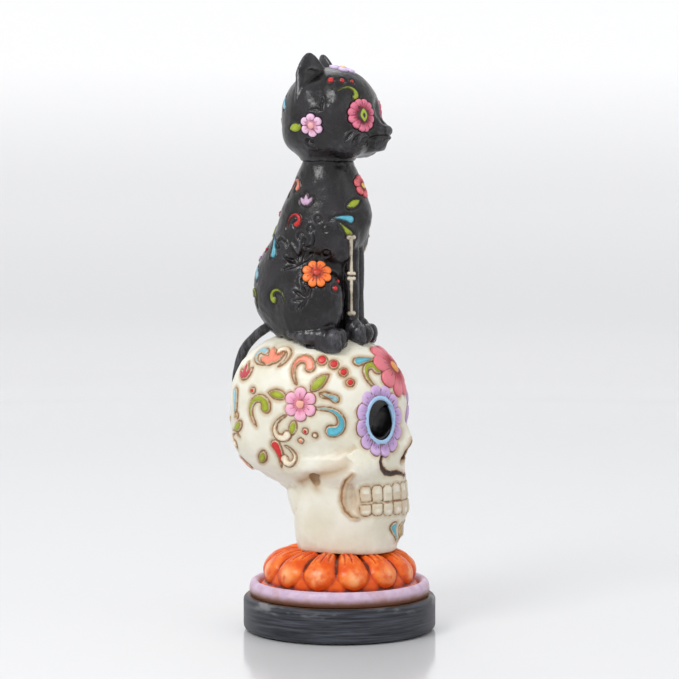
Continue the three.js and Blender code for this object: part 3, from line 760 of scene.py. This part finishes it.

# Bone forms: each has a stroke, its place, how far it stands out or in, how soft it is, and its painted
# shade, which darkens the hollow under the cheek arch, its corner and the pocket
pocket_place = (-15.4, -8.7, 50)
nasal_bone = [(0, 3, 0.9), (0, -3, 1.6)]
jaws = [(0, 2, 5), (0, -8, 5)]
cheek_arch = [(-14, -1.2, 0.6), (-4, 0.4, 1.2), (8, 0.8, 1.8), (14, 4.5, 3.2)]
under_arch = [(-7, -1.2, 0.3), (-2, 0.2, 1.0), (4, 0.4, 1.2), (11, -1.0, 0.5)]
arch_corner = [(0.2, 1.6, 1.2), (0.8, -2.6, 0.3)]
pocket = [(0.6, 8, 0.2), (-0.3, 4, 1.4), (-0.2, -1, 2.2), (0.9, -5, 1.9), (1.9, -7, 0.8)]
level = [(-5, 0, 1), (5, 0, 1)]
bone_forms = [
    (nasal_bone, (0, -24, 70), 1.9, 2.0),
    (jaws, (0, -23.5, 52), 0.8, 3),
    (cheek_arch, (-19, 2, 61.5), 1.0, 4.2),
    (under_arch, (-17.5, 2.6, 57), -1.0, 3.2, 1.1),
    (arch_corner, (-15.7, 4.6, 55), -1.1, 3.4, 1.2),
    (pocket, pocket_place, 0.9, 2.4, 0.5),
    (level, (-5, 25.5, 58), -1.4, 4.5),
    (level, (0, -20.5, 34), 1.4, 3.2),
]
for form in bone_forms:
    skull.press(*form)
pocket_edge = [(0.4, 8.4, 0.1), (-1.6, 5.6, 0.3), (-2.6, 1.6, 0.36), (-2.7, -2.5, 0.36), (-1.5, -5.8, 0.3),
               (0.8, -7.8, 0.24), (3.0, -7.6, 0.1)]
skull.ornament([pocket_edge], pocket_place, line=0.5, depth=0.45)

red = (0.6, 0.02, 0.02)
rose = (0.55, 0.06, 0.1)
salmon = (0.84, 0.27, 0.18)
green = (0.32, 0.4, 0.02)
blue = (0.1, 0.46, 0.62)
pale_blue = (0.3, 0.58, 0.74)
ochre = (0.5, 0.34, 0.08)
bone_cream = (0.86, 0.8, 0.66)
dark_brown = (0.035, 0.012, 0.006)

nose_crease = [[(2.0, 1.2, 0.25), (0.4, 0.6, 0.5), (-0.6, -1.2, 0.7), (0.0, -3.2, 0.85), (2.2, -4.9, 0.95),
                (5.2, -5.5, 0.9), (8, -5.2, 0.8), (11, -5.7, 0.65), (13.6, -6.4, 0.3)]]
skull.ornament(nose_crease, (-12.2, -18.6, 62.4), 0, dark_brown, raised=-0.7, line=0.2, depth=0.2)
nose_opening = [[(0, 4.4, 0.5), (side * 1.3, 0, 1.3), (side * 1.9, -2, 0.9)] for side in (1, -1)]
skull.ornament(nose_opening, (0, -25, 62.5), 0, dark_brown, raised=-1.2, line=0.2, depth=0.3)

# Painted ornament, from the temple round to the back, then on the middle of the back and of the chin
skull_sprays = [
    ((110, 31), [
        (leaf(8.2, 3.8, 15), 3.8, 4.6, -38, green),
        (leaf(7, 3.4, -15), -5.4, 2.2, 72, green),
        (leaf(5.6, 2.8), -2.2, -5.8, 165, green),
        (curl(17, 4.2, 200), 5.2, -1.6, -84, blue),
        (leaf(5.2, 2.2, 30), 6.6, 3.2, -84, bone_cream),
        (curl(15, 3.8, 215), -1.6, 6.6, 28, salmon),
        (curl(14, 3.2, -215), -5.2, -4.0, 118, bone_cream),
        (dot(2.2), 1.6, -9.4, 0, red),
        (dot(1.9), 5.0, -10.8, 0, bone_cream),
    ]),
    ((84, 50), [
        (dot(3.8), -3.4, 6.4, 0, red),
        (dot(3.5), 0.8, 4.8, 0, red),
        (dot(3.2), 4.2, 2.0, 0, red),
        (dot(2.9), 6.6, -1.6, 0, red),
        (drop(6, 2.6, -20), 1.6, -7.4, 60, pale_blue),
    ]),
    ((50, 51), [
        (curl(14, 3.8, 210), 4.2, -4.4, 50, green),
        (drop(8, 3.2, 20), -1.2, 5.6, -75, blue),
    ]),
    ((150, 20), [
        (curl(17, 3.8, 225), 5.4, -7.0, 30, green),
        (drop(9.5, 3.2, 50), -5.6, 4.0, 195, pale_blue),
        (leaf(7, 3.2, 20), -1.5, -6.0, 130, green),
        (dot(2.2), 4.0, 5.4, 0, red),
        (fan(3, 6, 2.6, 90), -1.4, 9.0, 10, rose),
        (dot(2.4), -5.0, -4.0, 0, ochre),
        (curl(12, 3, -220), -3.4, -11.5, 60, bone_cream),
    ]),
    ((134, -4), [
        (drop(9, 3.6, 40), 1.0, 1.6, 205, red),
        (curl(12, 3, 240), 4.4, 1.4, 235, bone_cream),
        (dot(2.1), 10.5, 3.2, 0, salmon),
        (leaf(6.5, 3, 20), -4.0, -1.0, 160, green),
    ]),
    ((140, 50), [
        (fan(3, 7.5, 3.4, 100), 0, -3, 20, salmon),
        (curl(12, 3, -220), 2.6, -4.0, -50, bone_cream),
        (curl(12, 3, 220), -3.0, -3.6, 84, pale_blue),
    ]),
    ((0, 38, 72), [
        (heart(6.4), 0, 6, 0, salmon),
        (leaf(7, 3, 20), 0.6, -1, -40, green),
        (leaf(7, 3, -20), -0.6, -1, 40, green),
        (drop(7, 3), 0, -9, 0, blue),
        (dot(2), 0, -12.5, 0, red),
        (curl(11, 2.8, 220), 2.4, -12, -70, salmon),
        (curl(11, 2.8, -220), -2.4, -12, 70, salmon),
    ]),
    ((0, -20.5, 37), [
        (drop(6.4, 3, 20), 5.6, 1.6, 160, blue),
        (drop(6.4, 3, -20), -5.6, 1.6, 200, blue),
        (drop(6, 2.8), 0, 1.2, 180, ochre),
    ]),
]
for place, motifs in skull_sprays:
    spray(skull, place, motifs, raised=0.55, line=0.27, depth=0.5, margin=0.45)

# Teeth: five on each side of each row, cut into the jaw and left plain
tooth_rows = [(50.3 * mm, 6.3), (44.6 * mm, 5.0)]
bite_height = 47 * mm
tooth_turn = 14.8
tooth_width = 4.15
tooth_narrowing = 0.12
tooth_lean = 2
tooth_reach = 6
middle_tooth = 2
tooth_rise = 0.45
tooth_corner = 0.5
gum_corner = 1.7
arch_centre_y = -8 * mm
for row_height, tooth_height in tooth_rows:
    for i in range(5):
        for side in (-1, 1):
            out = direction(tooth_turn * (i + 0.5) * side, 0)
            start = Vector((0, arch_centre_y, row_height + (0.2 * mm if i % 2 else 0))) + out * 60 * mm
            where = skull.frame_round(skull.tree.ray_cast(start, -out)[0])
            which, u, v = skull.patch(where, side, tooth_lean * (i - middle_tooth), tooth_reach)
            half = tooth_height / 2 - tooth_narrowing * i
            corner = np.where((v > 0) == (row_height > bite_height), gum_corner, tooth_corner)
            flank = np.hypot(np.maximum(np.abs(u) - tooth_width / 2 + corner, 0),
                             np.maximum(np.abs(v) - half + corner, 0)) - corner
            skull.add(which, flank, tooth_rise, None, line=0.16, depth=0.4, edge=0.9)


# Raised flowers: thin castings with rounded petals and creases, laid on the skull and on the cat, and
# painted one colour that deepens towards the middle. Brown or black wash lies round them.
clearance = 12  # in mm, from where a flower is let down on its ground


class Flower:
    """A flower's radius in mm, its petals, how deep they part, and the share that its middle takes."""
    # Along a petal, where its tip starts to round down, and where its creases end
    tip_start, crease_end, side_crease_end = 0.72, 0.55, 0.32
    # A crease's width in mm, and its depth as a share of the thickness
    crease_width, crease_share = 0.22, 0.28
    # How far the flower reaches into its ground, and half the size of an eye's iris, in mm
    sunk, iris_half_width, iris_half_height = 0.6, 1.5, 2.3
    iris_power = 1.4

    def __init__(self, radius, petals, notch, ring, stretch=1.0, hole=0.0):
        self.radius, self.petals, self.notch = radius, petals, notch
        self.ring, self.stretch, self.hole = ring, stretch, hole

    def reach(self, angle, share=1.0):
        """How far the outline is from the middle in mm."""
        scallop = 1 - np.sqrt(np.abs(np.sin(self.petals * angle / 2)))
        outwards = max(share - self.ring, 0) / (1 - self.ring)
        return self.radius * share * (1 - self.notch * scallop * outwards)

    def cut_outline(self, ground, where, side, line, depth, hole_colour):
        """The groove round the flower, and the dark of the hole in it."""
        which, u, v = ground.patch(where, side, 0, self.radius * self.stretch + 2)
        v = v / self.stretch
        ground.add(which, np.hypot(u, v) - self.reach(np.arctan2(v, u)), 0, None, line, depth)
        if hole_colour:
            which, u, v = ground.patch(where, side, 0, self.radius * 1.6, facing=-1)
            distance = np.hypot(u, v / self.stretch) - self.radius * self.hole * 1.25
            ground.stain(which, distance, hole_colour)

    def above(self, where, side, u, v):
        """A point well above the ground, at a place across and up the flower in mm."""
        point, right, up, normal = where
        return point + right * (u * -side * mm) + up * (v * mm) + normal * clearance * mm

    def fitted(self, ground, where, side):
        """The height in mm of a smooth surface through the ground round the flower's rim."""
        point, _, _, normal = where
        rows, heights = [], []
        for share in (0.85, 0.95, 1.05):
            for angle in np.linspace(0, 2 * pi, 37)[:-1]:
                u = self.radius * share * cos(angle)
                v = self.radius * self.stretch * share * sin(angle)
                hit = ground.tree.ray_cast(self.above(where, side, u, v), -normal)[0]
                rows.append((1, u, v, u * u, u * v, v * v))
                heights.append((hit - point).dot(normal) / mm)
        terms = np.linalg.lstsq(np.array(rows), np.array(heights), rcond=None)[0]
        return lambda u, v: float(np.dot(terms, (1, u, v, u * u, u * v, v * v)))

    def piece(self, name, ground, where, side, thickness):
        """The raised flower, as one closed body that follows its ground."""
        ring = self.ring
        rows = 26
        shares = [self.hole + (1 - self.hole) * i / rows for i in range(rows + 1)]
        profile = [(share, 0) for share in shares] + [(share, 1) for share in reversed(shares)]
        made = finished(turned_shape(profile, self.petals * 16), name)
        normal = where[3]
        over_hole = self.fitted(ground, where, side) if self.hole else None
        along, lines, middle, iris = [], [], [], []
        for v in made.data.vertices:
            share, angle = hypot(v.co.x, v.co.y), atan2(v.co.y, v.co.x)
            r = float(self.reach(angle, share))
            across, upwards = r * cos(angle), r * self.stretch * sin(angle)
            start = self.above(where, side, across, upwards)
            hit, _, face, _ = ground.tree.ray_cast(start, -normal)
            lean = Vector(ground.normals[ground.corners[face]].mean(0))
            if over_hole:
                level = max(over_hole(across, upwards), (hit - start).dot(normal) / mm + clearance)
                keep = min(max((share - 0.7) / 0.2, 0), 1)
                hit = hit * keep + (start + normal * (level - clearance) * mm) * (1 - keep)
                lean = (lean * keep + normal * (1 - keep)).normalized()
            part = (self.petals * angle / (2 * pi)) % 1 * 2 - 1
            petal_share = (share - ring) / (1 - ring)
            half_width = pi * r / self.petals
            if share < ring:
                bead = (share - self.hole) / (ring - self.hole) * 2 - 1 if self.hole else share / ring
                height = thickness * (0.55 + 0.6 * sqrt(max(0, 1 - bead * bead)))
                to_line = far
            else:
                dome = sqrt(max(0, 1 - part * part))
                past_tip = max(0, petal_share - self.tip_start) / (1 - self.tip_start)
                rim = sqrt(max(0, 1 - past_tip ** 2))
                height = thickness * (0.3 + 0.7 * dome) * (0.7 + 0.3 * petal_share) * (0.3 + 0.7 * rim)
                crease = abs(part) * half_width if petal_share < self.crease_end else far
                side_crease = abs(abs(part) - 0.5) * half_width
                cut = min(crease, side_crease if petal_share < self.side_crease_end else far)
                height -= self.crease_share * thickness * exp(-(cut / self.crease_width) ** 2)
                to_line = min(cut + 0.06, (1 - abs(part)) * half_width + 0.02)
            to_line = min(to_line, abs(share - ring) * self.radius)
            v.co = hit + lean * (height if v.co.z > 0.5 else -self.sunk) * mm
            along.append(min(max(petal_share, 0), 1))
            lines.append(to_line)
            middle.append(float(share < ring))
            x, y = abs(cos(angle)) * r / self.iris_half_width, abs(sin(angle)) * r / self.iris_half_height
            iris.append((x ** self.iris_power + y ** self.iris_power) ** (1 / self.iris_power))
        for title, values in (("along", along), ("line", lines), ("middle", middle), ("iris", iris)):
            attribute = made.data.attributes.new(title, "FLOAT", "POINT")
            attribute.data.foreach_set("value", values)
        shape = bmesh.new()
        shape.from_mesh(made.data)
        bmesh.ops.recalc_face_normals(shape, faces=shape.faces[:])
        shape.to_mesh(made.data)
        shape.free()
        return made

    def lay(self, node, ground, place, thickness, material, slot, line=0.4, depth=0.4, hole_colour=None):
        """The flower and its outline on both sides of its ground, or once on its middle."""
        for side, ending in sides(place):
            where = ground.frame_of(place, side)
            self.cut_outline(ground, where, side, line, depth, hole_colour)
            made = self.piece("painted_" + node + ending, ground, where, side, thickness)
            stands_for(made, material, slot, node + ending)


def uneven_line(tree, cells, low, high):
    """The distance in mm from the nearest line, with the waver of a brush."""
    waver = ramp(tree, noise_of(tree, cells), 0.3, 0.7, low, high)
    return add_node(tree, "Math", {0: stored(tree, "line"), 1: waver}, operation="ADD").outputs[0]


def petal_paint(name, inner, outer, middle, wash, iris=None):
    """Paint that deepens towards the flower's middle, with wash in the creases, and an eye if it has one."""
    material, tree = new_material(name)
    grain = noise_of(tree, 900, detail=4, rough=0.6)
    tone = coats(tree, inner,
                 (ramp(tree, stored(tree, "along"), 0.05, 0.75), outer),
                 (ramp(tree, stored(tree, "middle"), 0.4, 0.6), middle))
    if iris:
        eye = stored(tree, "iris")
        pupil = add_node(tree, "Math", {0: eye, 1: pupil_share}, operation="LESS_THAN").outputs[0]
        tone = coats(tree, tone, (ramp(tree, eye, 0.93, 1.07, 1, 0), iris), (pupil, pupil_black))
    tone = coats(tree, tone,
                 (ramp(tree, grain, 0.4, 0.8, 0, 0.3), petal_light, "MULTIPLY"),
                 (ramp(tree, uneven_line(tree, 700, -0.12, 0.16), 0.02, 0.24, 0.8, 0), wash))
    surface(tree, Base_Color=tone, Roughness=0.4, Normal=bump(tree, grain, 0.06 * mm))
    return material


pupil_share = 0.42
pupil_black = (0.02, 0.015, 0.01, 1)
petal_light = (1.3, 1.25, 1.25, 1)
skull_wash = (0.16, 0.06, 0.03, 1)
socket_black = (0.0025, 0.0018, 0.0018)
lilac_petals = petal_paint("lilac_petal_paint", (0.4, 0.26, 0.52, 1), (0.58, 0.4, 0.66, 1),
                           (0.36, 0.55, 0.78, 1), skull_wash)
pink_petals = petal_paint("pink_petal_paint", (0.72, 0.22, 0.34, 1), (0.82, 0.42, 0.56, 1),
                          (0.84, 0.4, 0.3, 1), skull_wash)
rose_petals = petal_paint("rose_petal_paint", (0.42, 0.03, 0.05, 1), (0.72, 0.18, 0.22, 1),
                          (0.7, 0.28, 0.05, 1), skull_wash)
eye_ring = Flower(9.0, 12, 0.16, ring=0.67, stretch=1.3, hole=0.54)
side_flower = Flower(5.8, 6, 0.33, ring=0.25)
forehead_flower = Flower(10.4, 8, 0.25, ring=0.22)
eye_ring.lay("skull_eye_flower", skull, (28, 20.6), 0.9, lilac_petals, "lilac_paint", line=0.35,
             hole_colour=socket_black)
side_flower.lay("skull_side_flower", skull, (110, 31), 1.0, pink_petals, "pink_paint", line=0.35)
forehead_flower.lay("skull_forehead_flower", skull, (0, 54.5), 0.9, rose_petals, "rose_paint", line=0.35)


# Skull's paint: bone cream in two tones over the whole casting, colour inside the cut outlines, and
# brown wash wiped into lines and hollows. The cat's paint is built up the same way.
def casting_paint(name, base, second, wash, glaze, dry, dry_share, halo, deep, roughness, gloss, rough):
    """Two tones of paint, dry brush on what stands out, ornament colours, and glaze in the hollows and over
    the painted shade.
    """
    material, tree = new_material(name)
    cloud = noise_of(tree, 70, detail=5)
    grain = noise_of(tree, 900, detail=4, rough=0.6)
    streak = ramp(tree, noise_of(tree, 500, detail=4, stretch=(1, 1, 0.25), rough=0.7), 0.38, 0.62)
    uneven = uneven_line(tree, 600, -0.1, 0.12)
    near = times(tree, ramp(tree, uneven, 0.0, 1.7, halo, 0), ramp(tree, cloud, 0.3, 0.7, 0.35, 1))
    colours = add_node(tree, "Attribute", attribute_name="paint").outputs["Color"]
    mottled = coats(tree, colours, (ramp(tree, grain, 0.35, 0.75), ornament_light, "MULTIPLY"))
    # The glaze also lays the painted shade that the casting keeps in its shade values
    tone = coats(tree, base,
                 (ramp(tree, cloud, 0.35, 0.68), second),
                 (times(tree, times(tree, stored(tree, "ridge"), streak), dry_share), dry),
                 (ramp(tree, stored(tree, "painted"), -0.06, 0.06, 1, 0), mottled),
                 (near, glaze, "MULTIPLY"),
                 (stored(tree, "shade"), glaze, "MULTIPLY"),
                 (times(tree, stored(tree, "hollow"), deep), glaze, "MULTIPLY"),
                 (ramp(tree, uneven, -0.1, 0.1, 0.8, 0), wash))
    surface(tree, Base_Color=tone, Roughness=roughness, Specular_IOR_Level=gloss,
            Normal=bump(tree, grain, rough))
    return material


ornament_light = (1.3, 1.3, 1.25, 1)
# Darker towards the skull's foot, where it sits in the collar
skull.darken(skull_low.z + 2.2 * mm, skull_low.z, 0.6)
skull.close(hollow=(0.06, 0.5), ridge=(0.05, 0.3))
bone_paint = casting_paint("bone_paint", (0.71, 0.675, 0.535, 1), (0.8, 0.78, 0.675, 1),
                           wash=(0.27, 0.115, 0.032, 1), glaze=(0.6, 0.38, 0.19, 1),
                           dry=(0.84, 0.81, 0.72, 1), dry_share=0.6, halo=0.8, deep=0.6,
                           roughness=0.36, gloss=0.5, rough=0.08 * mm)
stands_for(skull.piece, bone_paint, "bone_paint", "skull")


# Cat's body: the torso, the haunches, the legs with their paws and the tail are one casting, pinned to
# the top of the skull. It is charcoal black, dry-brushed blue-grey, with incised and painted ornament.
def neck_shape(profile):
    """A body of revolution round the cat's neck, from radii and heights in mm."""
    shape = turned_shape([(r * mm, z * mm) for r, z in profile], 48)
    bmesh.ops.translate(shape, verts=shape.verts[:], vec=(0, neck_setback, 0))
    return shape


def decorate(ground, motifs, **finish):
    """Motifs at places of their own, with a heading, and with a colour where they are painted."""
    for motif in motifs:
        ground.ornament(*motif, **finish)


cat_nodes = ["cat_body", "cat_foreleg_right", "cat_foreleg_left", "cat_hind_paw_right",
             "cat_hind_paw_left", "cat_tail"]
neck_setback = 4.2 * mm
body_shape = neck_shape([(0, 155), (6.6, 155), (7.9, 160), (8.5, 163), (9.4, 165.8), (0, 165.9)])
# Balls of (place, radius) in mm that round the paws: toes, and each hind foot drawn out backwards
fore_toes = [(5.4, -8.7, 105.2, 2.9), (2.9, -10.6, 105.4, 2.7), (4.0, -6.6, 106.8, 3.3)]
hind_toes = [(14.9, -2.6, 103.9, 3.3), (12.2, -4.0, 103.9, 3.1)]
hind_foot = [(13.6, -1.6, 104.2, 3.4), (14.6, 1.6, 104.4, 3.1), (15.2, 4.4, 104.5, 2.7),
             (15.5, 6.8, 104.6, 2.3), (15.6, 9.0, 104.8, 1.9), (15.4, 11.0, 105.0, 1.6),
             (15.0, 12.8, 105.2, 1.4)]
ball_stretch = (1, 1, 1.15)
for x, y, z, size in fore_toes + hind_toes + hind_foot:
    for side in (-1, 1):
        ball(body_shape, size * mm, ball_stretch, (side * x * mm, y * mm, z * mm), 24, 16)
body = casting("painted_cat_body", cat_nodes, body_shape, grain=0.4 * mm, swell=0.2 * mm, rounds=16)
chest_height = 138 * mm
paw_height = 109 * mm
high_places = (body.places[:, 2] - chest_height) / (12 * mm)
low_places = (paw_height - body.places[:, 2]) / (4 * mm)
body.relax(30, np.clip(high_places, 0, 1))
body.relax(10, np.clip(low_places, 0, 1))
body.chisel(0.28 * mm, 7 * mm)
body.chisel(0.1 * mm, 2.2 * mm)
body.lay_out_from(0, 7.7 * mm, 128.5 * mm)

# Forms of the body: the crease round the haunch, the gaps between the toes, and the hind paw's back,
# which slopes down to the skull. Painted shade lies in the crease and the toe gaps
haunch_crease = [(-9, 10, 0.3), (-5, 10.5, 0.6), (0, 8, 0.8), (3.2, 3.6, 0.8)]
body.press(haunch_crease, (-16, -2, 126), -2.2, 2.6, shade=0.8)
toe_gap = [(0, 2.6, 0.1), (0, -2.4, 0.3)]
for x, y, z, turn in ((-14.2, -5.2, 103, 50), (-4.4, -11.0, 104.4, 32), (-1.4, -12, 104.8, 0)):
    body.press(toe_gap, (x, y, z), -0.9, 0.6, shade=1.0, turn=turn, below=4)
paw_back = [(-3, -1, 1.5), (4, -1.5, 1)]
body.press(paw_back, (-17.3, 9.5, 100.8), -2.0, 2.2)

mauve = (0.62, 0.4, 0.6)
bone = (0.78, 0.7, 0.56)
decorate(body, [
    (leaf(6.5, 2.8), (34, 52), -60, green),
    (drop(6.5, 3, -30), (32, 44), 70, blue),
    (drop(5.5, 2.8), (34, 33), 40, green),
    (curl(12, 2.6), (128, 44), 0, red),
    (drop(9, 2.8, -40), (140, 14), 10, blue),
    (fan(3, 4.6, 2.2, 80), (95, 62), 0, mauve),
    (curl(12, 2.6, -220), (112, -34), 20, green),
    (leaf(6, 2.4), (156, -14), 20, pale_blue),
    (leaf(6, 2.4), (170, 30), 0, green),
    (heart(4.4), (180, 52), 0, rose),
    (fan(3, 5.6, 2.4, 90), (180, 2), 0, mauve),
    (curl(11, 2.4, -220), (160, -34), -20, green),
    (dot(2.2), (163, 18), 0, red),
    (drop(7, 2.6, 30), (180, -24), 0, blue),
    (curl(12, 2.6, 220), (150, 66), 10, salmon),
    (dot(2.4), (52, -22), 0, red),
    (dot(2.0), (45, -17), 0, red),
], raised=0.4, line=0.4, depth=0.5)
decorate(body, [
    (fan(5, 7.5, 1.3, 150), (100, 4), 30),
    (fan(5, 6, 1.2, 150), (84, -30), 60),
    (curl(10, 1.3), (80, 42), 190),
    (curl(10, 1.3, -250), (120, 24), 20),
], line=0.4, depth=0.6)
ring_mark = [[(1.2 * cos(a), 1.2 * sin(a), 0.25) for a in np.linspace(0, 2 * pi, 13)]]
ring_places = [(72, 52), (62, 44), (84, 46), (100, 40), (60, 20), (88, -14)]
decorate(body, [(ring_mark, place) for place in ring_places], line=0.35, depth=0.4)


def leg_bone(length, width):
    """A long bone with two knobs at each end."""
    knobs = [[(side * width * 0.26, up, width * 0.3), (side * width * 0.27, up, width * 0.3)]
             for side in (-1, 1) for up in (0, length)]
    return [[(0, 0, width * 0.26), (0, length / 2, width * 0.2), (0, length, width * 0.26)]] + knobs


for top, length in ((139, 12.8), (124.6, 12.2)):
    spray(body, (-2.9, -5.3, top), [(leg_bone(length, 3.2), 0, -length, 0, bone)],
          turn=72, below=5.5, raised=0.35, line=0.3, depth=0.4)

cat_wash = (0.008, 0.004, 0.004, 1)
orange_petals = petal_paint("orange_flower_paint", (0.6, 0.06, 0.01, 1), (0.9, 0.2, 0.03, 1),
                            (0.5, 0.04, 0.02, 1), cat_wash)
chest_petals = petal_paint("red_flower_paint", (0.4, 0.02, 0.03, 1), (0.72, 0.14, 0.16, 1),
                           (0.8, 0.5, 0.1, 1), cat_wash)
haunch_flower = Flower(5.1, 8, 0.28, ring=0.24)
chest_flower = Flower(4.3, 6, 0.3, ring=0.26)
haunch_flower.lay("cat_haunch_flower", body, (74, -6), 1.0, orange_petals, "orange_paint",
                  line=0.45, depth=0.5)
chest_flower.lay("cat_chest_flower", body, (0, 60.5), 0.8, chest_petals, "rose_paint")
# Painted shade under the head: the neck darkens towards the top
body.darken(156 * mm, 160.9 * mm, 0.7)
body.darken(155 * mm, 162 * mm, 0.8)
body.close(hollow=(0.06, 0.45), ridge=(0.1, 0.5))
cat_paint = casting_paint("cat_charcoal_paint", (0.0045, 0.003, 0.003, 1), (0.021, 0.0185, 0.0215, 1),
                          wash=cat_wash, glaze=(0.16, 0.12, 0.1, 1),
                          dry=(0.105, 0.105, 0.122, 1), dry_share=0.7, halo=0.6, deep=0.9,
                          roughness=0.23, gloss=0.42, rough=0.14 * mm)
stands_for(body.piece, cat_paint, "black_paint", *cat_nodes)


# Cat's head: the head and both ears are one casting, pinned and glued to the neck, and painted as the
# body is. The mouth, the whiskers and the leaves behind the eyes are cut into it.
ear_foot = Vector((10.7, 5.2, 185.4)) * mm
ear_tip = Vector((7.6, 8.7, 203.0)) * mm
ear_out = Vector((0.77, -0.64, 0))
ear_across = Vector((-0.64, -0.77, 0))
ear_half_width = 7.6 * mm
ear_half_thickness = 2.4 * mm


def ear_place(across, away, share):
    """A point of the left ear: broad at its foot, thin, and drawn up to a small round tip."""
    across *= ear_half_width * min(1, 1.6 * (1 - share) ** 0.5) * (1 - 0.34 * share)
    away *= ear_half_thickness * (1 - share) ** 0.35
    return ear_foot.lerp(ear_tip, share) + ear_across * across + ear_out * away


head_nodes = ["cat_head", "cat_ear_right", "cat_ear_left"]
head_shape = neck_shape([(0, 165.4), (9.4, 165.4), (10.2, 166.6), (11.6, 168), (13.4, 169.8),
                         (14.5, 171.8), (0, 176)])
drawn_ball(head_shape, 20, ear_place)
right_ear = drawn_ball(head_shape, 20, ear_place)
bmesh.ops.scale(head_shape, verts=right_ear, vec=(-1, 1, 1))
bmesh.ops.recalc_face_normals(head_shape, faces=head_shape.faces[:])
head = casting("painted_cat_head", ["cat_head"], head_shape, grain=0.34 * mm, swell=0.18 * mm, rounds=18)
head.chisel(0.22 * mm, 6 * mm)
head.chisel(0.08 * mm, 2 * mm)
head.lay_out_from(0, 3.7 * mm, 181.3 * mm)

# Forms of the head: the bridge and the tip of the nose, the mouth, the chin, and the hollow of the ear.
# Painted shade lies in the split of the lip, the mouth and the ear's hollow
nose_bridge = [(0, 2.5, 1.8), (0, -1.5, 1.4)]
nose_tip = [(-1, 0, 1.2), (1, 0, 1.2)]
lip_split = [(0, 0, 0.5), (0, -1.6, 0.3)]
mouth = [(-5, -1, 0.2), (0, 0.4, 0.5), (5, 0.6, 0.4)]
chin = [(-3, 0, 1.5), (3, 0, 1.5)]
ear_hollow = [(-0.8, -4, 3.0), (-0.5, 0, 2.8), (-0.2, 4, 2.1), (0, 7, 0.9)]
head_forms = [
    (nose_bridge, (0, -15, 181.5), -1.2, 2),
    (nose_tip, (0, -18.2, 180.5), -1.0, 1.4),
    (lip_split, (0, -18.5, 175.2), -0.6, 0.8, 0.5),
    (mouth, (-5, -15.5, 173.2), -1.1, 0.8, 0.9),
    (chin, (0, -15.5, 169.8), 1.3, 2.2),
    (ear_hollow, (-10.2, 5.1, 192.5), -1.0, 2.2, 0.3, 50, 6),
]
for form in head_forms:
    head.press(*form)
decorate(head, [
    (leaf(6.4, 3.4), (107, -13), 100, green),
    (curl(10, 2.4, 170), (62, 27), -50, green),
    (dot(2.7), (70, 44), 0, red),
    (dot(2.2), (52, 43), 0, red),
    (dot(1.8), (36, 41), 0, red),
    (drop(5, 2.2, 20), (140, 10), 30, pale_blue),
    (heart(4.2), (180, 6), 0, rose),
    (leaf(5, 2.2, 20), (172, -14), -30, green),
], raised=0.3, line=0.34, depth=0.4)
decorate(head, [
    (leaf(4.6, 1.0, 30), (80, 5), 15),
    (leaf(4.6, 1.0, -30), (80, 5), 75),
    (curl(7, 1.0), (92, -40), 90),
], line=0.4, depth=0.55)
# Three whiskers on each side of the muzzle
for y, z in ((-4.7, 175.4), (-7.3, 174.6), (-9.9, 173.8)):
    head.ornament(leaf(3.8, 0.9), (-0.1, y, z), 138, line=0.35, depth=0.55, turn=72, below=4)
eye_flower = Flower(5.8, 12, 0.13, ring=0.42)
cheek_flower = Flower(4.1, 6, 0.33, ring=0.28)
crown_flower = Flower(4.8, 6, 0.3, ring=0.26)
eye_petals = petal_paint("cat_eye_petal_paint", (0.4, 0.03, 0.07, 1), (0.7, 0.17, 0.26, 1),
                         (0.05, 0.02, 0.02, 1), cat_wash, iris=(0.36, 0.44, 0.03, 1))
cheek_petals = petal_paint("cheek_petal_paint", (0.7, 0.3, 0.42, 1), (0.78, 0.5, 0.68, 1),
                           (0.8, 0.4, 0.4, 1), cat_wash)
crown_petals = petal_paint("crown_petal_paint", (0.5, 0.36, 0.6, 1), (0.66, 0.52, 0.76, 1),
                           (0.8, 0.6, 0.3, 1), cat_wash)
eye_flower.lay("cat_eye_flower", head, (32.5, -0.5), 0.8, eye_petals, "rose_paint")
cheek_flower.lay("cat_cheek_flower", head, (93, -11.9), 0.9, cheek_petals, "pink_paint")
crown_flower.lay("cat_crown_flower", head, (0, 74), 0.8, crown_petals, "lilac_paint")
head.close(hollow=(0.08, 0.5), ridge=(0.1, 0.5))
stands_for(head.piece, cat_paint, "black_paint", *head_nodes)


# Steel pins: plain rods, glued into the castings and hidden by them. The solids of the frame stay, and
# get the fine scratches of drawn rod.
steel_grey = (0.55, 0.56, 0.58, 1)
steel, tree = new_material("steel_rod")
scratches = noise_of(tree, 400, detail=3, stretch=(4, 4, 0.3))
surface(tree, Base_Color=steel_grey, Metallic=1.0, Roughness=ramp(tree, scratches, 0.3, 0.7, 0.25, 0.45))
finish_solids(steel, "main_pin", "cat_pin", "neck_pin", "tail_pin")
